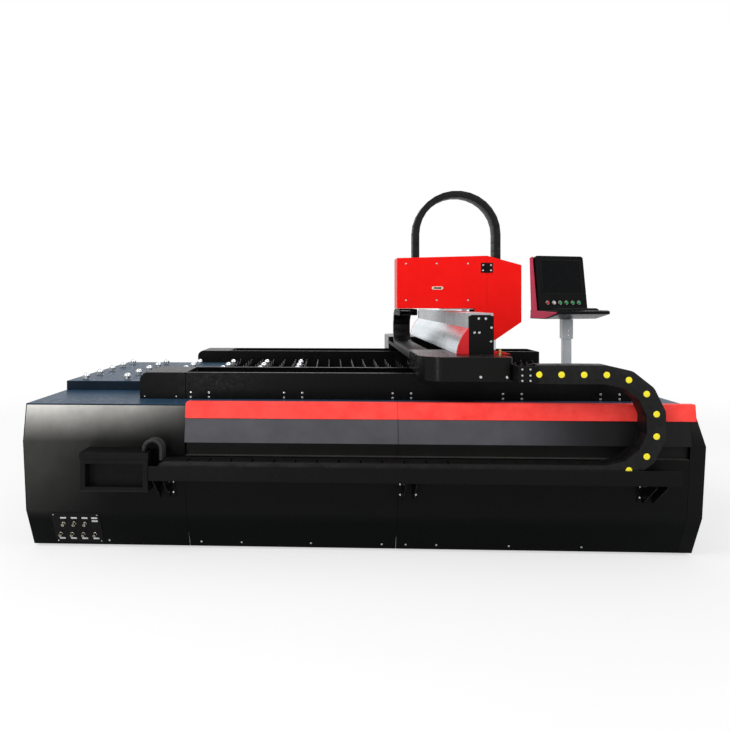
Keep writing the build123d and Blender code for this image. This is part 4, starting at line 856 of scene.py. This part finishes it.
def hose_form(start, reach, top, end, radius):
    """A hose that rises from a point, turns over in a half circle towards X and comes down."""
    bend = reach / 2
    turn = Vector((start.x + bend, start.y, top - bend))
    line = [start + Z * (i * (turn.z - start.z) / 6) for i in range(6)]
    for i in range(29):
        angle = math.pi * i / 28
        line.append(turn + X * (-bend * math.cos(angle)) + Z * (bend * math.sin(angle)))
    for i in range(8):
        line.append(Vector((start.x + reach, start.y, turn.z + (end - turn.z) * (i + 1) / 8)))
    form = bmesh.new()
    rings = []
    sides = 20
    for i, point in enumerate(line):
        ahead = (line[min(i + 1, len(line) - 1)] - line[max(i - 1, 0)]).normalized()
        out = ahead.cross(Y)
        ring = []
        for k in range(sides):
            angle = 2 * math.pi * k / sides
            ring.append(form.verts.new(point + (Y * math.cos(angle) + out * math.sin(angle)) * radius))
        rings.append(ring)
    for a, b in zip(rings, rings[1:]):
        for k in range(sides):
            form.faces.new((a[k], a[k - 1], b[k - 1], b[k]))
    form.faces.new(rings[0])
    form.faces.new(rings[-1])
    bmesh.ops.recalc_face_normals(form, faces=form.faces)
    return form


def hoses():
    """Three hoses of slightly uneven height, each out of a cable gland, held at both ends."""
    low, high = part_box("chain_hoses")
    radius = 0.0105
    clear = 0.0115
    reach = high.x - low.x - 2 * clear
    spacing = (high.y - low.y) / 2 - clear
    drops = (0.000, 0.007, 0.003)
    forms = []
    glands = []
    for i, drop in enumerate(drops):
        y = (low.y + high.y) / 2 + (i - 1) * spacing
        start = Vector((low.x + clear, y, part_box("cable_box")[1].z))
        forms.append(hose_form(start, reach, high.z - radius - drop - 0.0005, low.z, radius))
        glands.append(Matrix.Translation(start))
    bundle = piece("hose_bundle", together(*forms), hose_rubber, "bed")
    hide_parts("chain_hoses")
    nut = turned([(0, 0), (0.0155, 0), (0.0165, 0.001), (0.0165, 0.007), (0.0155, 0.008),
                  (0.0135, 0.0085), (0.0135, 0.013), (0.0118, 0.0155), (0.0105, 0.0155)], 6)
    piece("hose_glands", copies(nut, glands), black_plastic, "bed", sharp=25)


hoses()


# Screws and bolts

# The panels' lower facet leans in by the first length over the second
FACET_IN = 0.105
FACET_UP = 0.229
FACET_OUT = Vector((0, -FACET_UP, -FACET_IN)).normalized()


def on_front(y, spots):
    """Places on a face that looks at the operator's side, from (x, z) pairs."""
    return [at(Vector((x, y, z)), FRONT) for x, z in spots]


def on_back(y, spots):
    """Places on a face that looks away from the operator, from (x, z) pairs."""
    return [at(Vector((x, y, z)), Y) for x, z in spots]


def trough_bolts():
    """Bolts that hold the troughs, in groups of four."""
    groups = (-1.114, -0.559, 0.080, 0.720, 1.279)
    spread = 0.054
    rows = (0.861, 0.889)
    low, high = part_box("rail_troughs")
    spots = [(x + s * spread, z) for x in groups for s in (-1, 1) for z in rows]
    screws("trough_bolts", 0.0075, 0.0045, on_front(low.y, spots) + on_back(high.y, spots), "bed")


def skirt_screws():
    """Screws along the foot of the front and rear panels, on the facets that lean in."""
    foot_x = (-1.62, -1.082, -0.85, -0.45, -0.047, 0.089, 0.263, 0.67, 1.075)
    rise = 0.030
    foot_y = -1.048 - rise * FACET_IN / FACET_UP
    back_y = 0.162 - foot_y
    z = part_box("front_panels")[0].z + rise
    places = [at(Vector((x, foot_y, z)), FACET_OUT) for x in foot_x]
    places += [at(Vector((x, back_y, z)), Vector((0, FACET_UP, -FACET_IN))) for x in foot_x]
    screws("skirt_screws", 0.006, 0.0025, places, "bed")


def gusset_screws():
    """Screws through the feet of the chain tray's gussets, on the face that swells out as it rises."""
    low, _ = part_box("chain_tray")
    places = []
    for x in (-1.262, 0.090, 1.390):
        for side in (-0.043, 0.043):
            for z in (low.z + 0.03, low.z + 0.09):
                y = -1.1595 - 0.038 * (z - 0.243) / 0.4
                places.append(at(Vector((x + side, y, z)), Vector((0, -1, -0.095))))
    screws("gusset_screws", 0.006, 0.003, places, "bed")


def end_cap_screws():
    """Screws at the foot of the front trough's closed end."""
    low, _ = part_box("trough_end_caps")
    spots = [(low.x + x, low.z + 0.014) for x in (0.03, 0.22)]
    screws("end_cap_screws", 0.0045, 0.0025, on_front(low.y, spots), "bed")


def connector_panel_details():
    """Corner screws of the connector panel, and a blank label by each fitting."""
    low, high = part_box("connector_panel")
    up = Vector((0, -FACET_IN, FACET_UP)).normalized()
    middle = (low + high) / 2 + FACET_OUT * 0.0015
    margin = 0.012
    half_x = (high.x - low.x) / 2 - margin
    half_up = 0.217 / 2 - margin
    places = []
    for side in (-half_x, half_x):
        for level in (-half_up, half_up):
            places.append(at(middle + X * side + up * level, FACET_OUT))
    screws("connector_panel_screws", 0.004, 0.002, places, "bed")
    label = rounded_bar((0.034, 0.011, 0.0012), 0.0004)
    spots = [(-0.072 + 0.062 * i, 0.074) for i in range(3)] + [(0.108, 0.074), (0.108, 0.052)]
    spots += [(-0.100 + 0.066 * i, -0.078) for i in range(4)]
    labels = [at(middle + X * x + up * level, FACET_OUT) for x, level in spots]
    piece("blank_labels", copies(label, labels), blank_label, "bed")


def gantry_screws():
    """Screws on the front carriage, the beam's end plates and the chain bracket."""
    low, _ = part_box("front_carriage")
    screws("carriage_screws", 0.008, 0.004, on_front(low.y, [(0.476, 1.019), (0.618, 1.019)]), "gantry")
    spots = [(0.507, 1.331), (0.547, 1.331), (0.580, 1.280), (0.4835, 1.251), (0.511, 1.251),
             (0.577, 1.200)]
    low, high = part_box("beam_end_plates")
    screws("end_plate_bolts", 0.0075, 0.005, on_front(low.y, spots) + on_back(high.y, spots), "gantry")
    low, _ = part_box("x_chain_bracket")
    spots = [(x, z) for x in (0.670, 0.712) for z in (1.012, 1.040, 1.072)]
    screws("bracket_screws", 0.0055, 0.003, on_front(low.y, spots), "gantry")


def head_screws():
    """Screws round the head's cover and in its hinge leaves, and the surround of the pull slot."""
    low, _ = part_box("head_front_cover")
    spots = [(x, z) for x in (0.207, 0.429, 0.654) for z in (1.437, 1.703)]
    screws("cover_screws", 0.0065, 0.003, on_front(low.y, spots), "head")
    hinge_low, hinge_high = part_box("hinge_plates")
    leaf_face = low.y - 0.0025
    seam_x = 0.790
    heights = [hinge_high.z - 0.036, hinge_low.z + 0.036]
    left = [(seam_x - 0.028, z + s * 0.019) for z in heights for s in (-1, 1)]
    right = [(seam_x + 0.028, z + s * 0.019) for z in heights for s in (-1, 1)]
    screws("hinge_screws", 0.0062, 0.0022, on_front(leaf_face, left), "head")
    screws("door_hinge_screws", 0.0062, 0.0022, on_front(leaf_face, right), "door")

    slot = Vector((0.435, low.y, 1.526))
    outer = stadium(0.060, 0.011, 8)
    inner = stadium(0.048, 0.0055, 8)
    ring = bmesh.new()
    levels = []
    for outline, z in ((outer, 0), (outer, 0.0022), (inner, 0.0026), (inner, -0.004)):
        levels.append([ring.verts.new((x, y, z)) for x, y in outline])
    for a, b in zip(levels, levels[1:]):
        for i in range(len(a)):
            j = (i + 1) % len(a)
            ring.faces.new((a[i], a[j], b[j], b[i]))
    bmesh.ops.transform(ring, matrix=at(slot, FRONT), verts=ring.verts)
    piece("pull_slot_surround", ring, slot_surround, "head")


trough_bolts()
skirt_screws()
gusset_screws()
end_cap_screws()
connector_panel_details()
gantry_screws()
head_screws()


# Gantry details

def cross_guide_ends():
    """End seals of the guide blocks on the beam: white scraper, blue seal."""
    low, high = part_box("y_rails")
    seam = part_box("saddle")[0].y
    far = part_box("saddle")[1].y
    width = 0.034
    height = 0.052
    for name, z in (("lower", low.z + 0.012), ("upper", high.z - 0.012)):
        for end, y, out in (("front", seam, -1), ("back", far, 1)):
            x = high.x + 0.007
            scraper = rounded_bar((width, 0.006, height), 0.0015)
            bmesh.ops.translate(scraper, vec=(x, y + out * 0.003, z), verts=scraper.verts)
            piece(f"{name}_{end}_scraper", scraper, seal_white, "head")
            seal = rounded_bar((width * 0.94, 0.007, height * 0.94), 0.0015)
            bmesh.ops.translate(seal, vec=(x, y + out * 0.0092, z), verts=seal.verts)
            piece(f"{name}_{end}_seal", seal, seal_blue, "head")


def grease_fitting():
    """A small brass grease nipple on the low cap right of the end plate."""
    low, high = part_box("beam_end_plates")
    carriage_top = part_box("front_carriage")[1].z
    nipple = turned([(0.009, 0), (0.009, 0.008), (0.005, 0.009), (0.005, 0.018), (0.0075, 0.019),
                     (0.0075, 0.028), (0.003, 0.031), (0, 0.031)], 18)
    spot = Vector((high.x + 0.030, low.y - 0.012, carriage_top))
    piece("grease_nipple", copies(nipple, [Matrix.Translation(spot)]), bare_brass, "gantry")


cross_guide_ends()
grease_fitting()


# Console details

def farthest(node, direction):
    """The middle of a node's points that lie farthest along a direction."""
    points = [v.co for v in nodes[node].data.vertices]
    reach = max(p.dot(direction) for p in points)
    front = [p for p in points if p.dot(direction) > reach - 1e-5]
    low = Vector([min(p[i] for p in front) for i in range(3)])
    high = Vector([max(p[i] for p in front) for i in range(3)])
    return (low + high) / 2


def console_axes():
    """Straight out of the monitor's face, along it to the right, and up it."""
    joint = next(j for j in frame["joints"] if j["name"] == "stop_button_push")
    face_out = -Vector(joint["axis"]).normalized()
    across = Z.cross(-face_out).normalized()
    across = -across if across.x < 0 else across
    upward = face_out.cross(across)
    upward = -upward if upward.z < 0 else upward
    return face_out, across, upward


def button_rings(face_out, across):
    """A plated ring round the foot of each button's cap."""
    cap_height = 0.012
    ring = turned([(0.0185, 0), (0.0185, 0.0022), (0.0165, 0.0036), (0.0148, 0.0036), (0.0145, 0)], 28)
    places = []
    for button in ("stop_button", "mode_button", *(f"green_button_{i}" for i in range(1, 5))):
        spot = farthest(button, face_out) - face_out * cap_height
        places.append(at(spot, face_out, across))
    piece("button_rings", copies(ring, places), screw_zinc, "console")


def screen_lip(face_out, across, upward):
    """The narrow lip round the screen, of four bars."""
    middle = farthest("monitor_screen", face_out) + face_out * 0.002
    lip = 0.006
    half_w = 0.2005
    half_h = 0.1505
    bars = []
    for s in (-1, 1):
        level = rounded_bar((2 * half_w + 2 * lip, lip, 0.004), 0.001)
        bars.append(copies(level, [at(middle + upward * (s * (half_h + lip / 2)), face_out, across)]))
        stile = rounded_bar((lip, 2 * half_h, 0.004), 0.001)
        bars.append(copies(stile, [at(middle + across * (s * (half_w + lip / 2)), face_out, across)]))
    piece("screen_lip", together(*bars), black_plastic, "console")


def keyboard(across):
    """A keyboard on its pad on the tray, with six rows of moulded keys."""
    ahead = -Z.cross(across).normalized()
    ahead = -ahead if ahead.y > 0 else ahead
    swivel = next(j for j in frame["joints"] if j["name"] == "console_swivel")
    post = Vector(swivel["pos_m"])
    tray_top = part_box("keyboard_tray")[1].z
    middle = Vector((post.x, post.y, tray_top)) - across * 0.040 + ahead * 0.165
    pad = rounded_bar((0.440, 0.170, 0.003), 0.001)
    piece("desk_pad", copies(pad, [at(middle, Z, across)]), mat_grey, "console")
    base = rounded_bar((0.400, 0.130, 0.012), 0.004)
    piece("keyboard_base", copies(base, [at(middle + Z * 0.007, Z, across)]), black_plastic, "console")
    key_step = 0.019
    key = rounded_bar((0.0160, 0.0160, 0.006), 0.0018)
    spots = []
    for row in range(6):
        for column in range(20):
            shift = across * ((column - 9.5) * key_step) - ahead * ((row - 2.5) * key_step)
            spots.append(at(middle + shift + Z * 0.0155, Z, across))
    piece("keyboard_keys", copies(key, spots), mat_grey, "console")


def post_screws():
    """Clamp screws of the post's sleeve, and the bolts of the plate at its foot."""
    low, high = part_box("console_sleeve")
    middle_x = (low.x + high.x) / 2
    spots = [(middle_x, low.z + rise) for rise in (0.03, 0.075)]
    screws("sleeve_screws", 0.006, 0.004, on_front(low.y, spots), "bed")
    low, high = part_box("console_post")
    places = []
    for y in (low.y + 0.018, high.y - 0.018):
        for z in (low.z + 0.02, low.z + 0.13):
            places.append(at(Vector((low.x + 0.012, y, z)), X, Y))
    screws("post_plate_bolts", 0.008, 0.006, places, "bed")


def console_details():
    """What the console has beside its CAD pieces."""
    face_out, across, upward = console_axes()
    button_rings(face_out, across)
    screen_lip(face_out, across, upward)
    keyboard(across)
    post_screws()


console_details()


# Floor, background and lamps

def pale_floor():
    """A pale floor that fades out before the horizon and keeps its own shade under the bed."""
    material = bpy.data.materials.new("pale_floor")
    material.use_nodes = True
    material.node_tree.nodes.clear()
    place = add_node(material, "TexCoord", {}, {}).outputs["Object"]
    reach = add_node(material, "VectorMath", {"operation": "LENGTH"}, {0: place})
    fade = add_node(material, "MapRange",
                    {"From Min": 3.0, "From Max": 7.5, "interpolation_type": "SMOOTHSTEP"},
                    {"Value": reach.outputs["Value"]})
    board = add_node(material, "BsdfDiffuse", {"Color": linear("#F7F7F7")}, {})
    clear = add_node(material, "BsdfTransparent", {}, {})
    path = add_node(material, "LightPath", {}, {})
    low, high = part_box("bed_frame")
    middle = (low + high) / 2
    shift = add_node(material, "VectorMath", {"operation": "SUBTRACT", 1: middle}, {0: place})
    distance = add_node(material, "VectorMath", {"operation": "ABSOLUTE"}, {0: shift.outputs[0]})
    parts = add_node(material, "SeparateXYZ", {}, {"Vector": distance.outputs[0]})
    beyond_end = add_node(material, "Math", {"operation": "SUBTRACT", 1: high.x - middle.x},
                          {0: parts.outputs["X"]})
    beyond_side = add_node(material, "Math", {"operation": "SUBTRACT", 1: high.y - middle.y},
                           {0: parts.outputs["Y"]})
    beyond = add_node(material, "Math", {"operation": "MAXIMUM"},
                      {0: beyond_end.outputs[0], 1: beyond_side.outputs[0]})
    clear_of_bed = add_node(material, "MapRange",
                            {"From Min": -0.1, "From Max": 0.1, "To Min": 0.0, "To Max": 0.6},
                            {"Value": beyond.outputs[0]})
    seen = add_node(material, "Math", {"operation": "MULTIPLY"},
                    {0: path.outputs["Is Camera Ray"], 1: clear_of_bed.outputs[0]})
    white = add_node(material, "Emission", {"Color": linear("#FFFFFF"), "Strength": 1.0}, {})
    lit = add_node(material, "MixShader", {},
                   {0: seen.outputs[0], 1: board.outputs[0], 2: white.outputs[0]})
    mix = add_node(material, "MixShader", {},
                   {0: fade.outputs[0], 1: lit.outputs[0], 2: clear.outputs[0]})
    add_node(material, "OutputMaterial", {}, {"Surface": mix.outputs[0]})
    form = bmesh.new()
    bmesh.ops.create_grid(form, x_segments=2, y_segments=2, size=8)
    floor = piece("floor", form, material)
    floor.location.z = cad_box[0][2] - 0.001


def lamp(name, place, size, power, aim):
    """A soft rectangular lamp aimed at a point."""
    light = bpy.data.lights.new(name, "AREA")
    light.shape = "RECTANGLE"
    light.size, light.size_y = size
    light.energy = power
    obj = bpy.data.objects.new(name, light)
    obj.location = place
    obj.rotation_euler = (Vector(aim) - Vector(place)).to_track_quat("-Z", "Y").to_euler()
    scene.collection.objects.link(obj)


def studio():
    """White behind the object, soft even light round it, three large soft lamps, and a tall strip
    whose reflection stands in the carriage's rounded corner."""
    world = bpy.data.worlds.new("studio")
    scene.world = world
    world.use_nodes = True
    world.node_tree.nodes.clear()
    path = add_node(world, "LightPath", {}, {})
    seen = add_node(world, "Math", {"operation": "MAXIMUM"},
                    {0: path.outputs["Is Camera Ray"], 1: path.outputs["Is Transmission Ray"]})
    mirrored = add_node(world, "Math", {"operation": "MAXIMUM"},
                        {0: seen.outputs[0], 1: path.outputs["Is Glossy Ray"]})
    level = add_node(world, "MapRange", {"To Min": 0.6, "To Max": 1.0}, {"Value": mirrored.outputs[0]})
    background = add_node(world, "Background", {"Color": (1, 1, 1, 1)}, {"Strength": level.outputs[0]})
    add_node(world, "OutputWorld", {}, {"Surface": background.outputs[0]})
    lamp("key_lamp", (-4.5, -5.0, 5.5), (2.3, 2.3), 290, (0, 0, 0.8))
    lamp("fill_lamp", (4.5, -4.0, 4.0), (3.0, 3.0), 90, (0, 0, 0.8))
    lamp("back_lamp", (0, 5.0, 5.0), (4.0, 2.0), 110, (0, 0, 0.8))
    lamp("strip_lamp", (-1.9, -5.6, 0.85), (0.25, 1.6), 26, (0.35, -1.1, 0.9))


pale_floor()
studio()
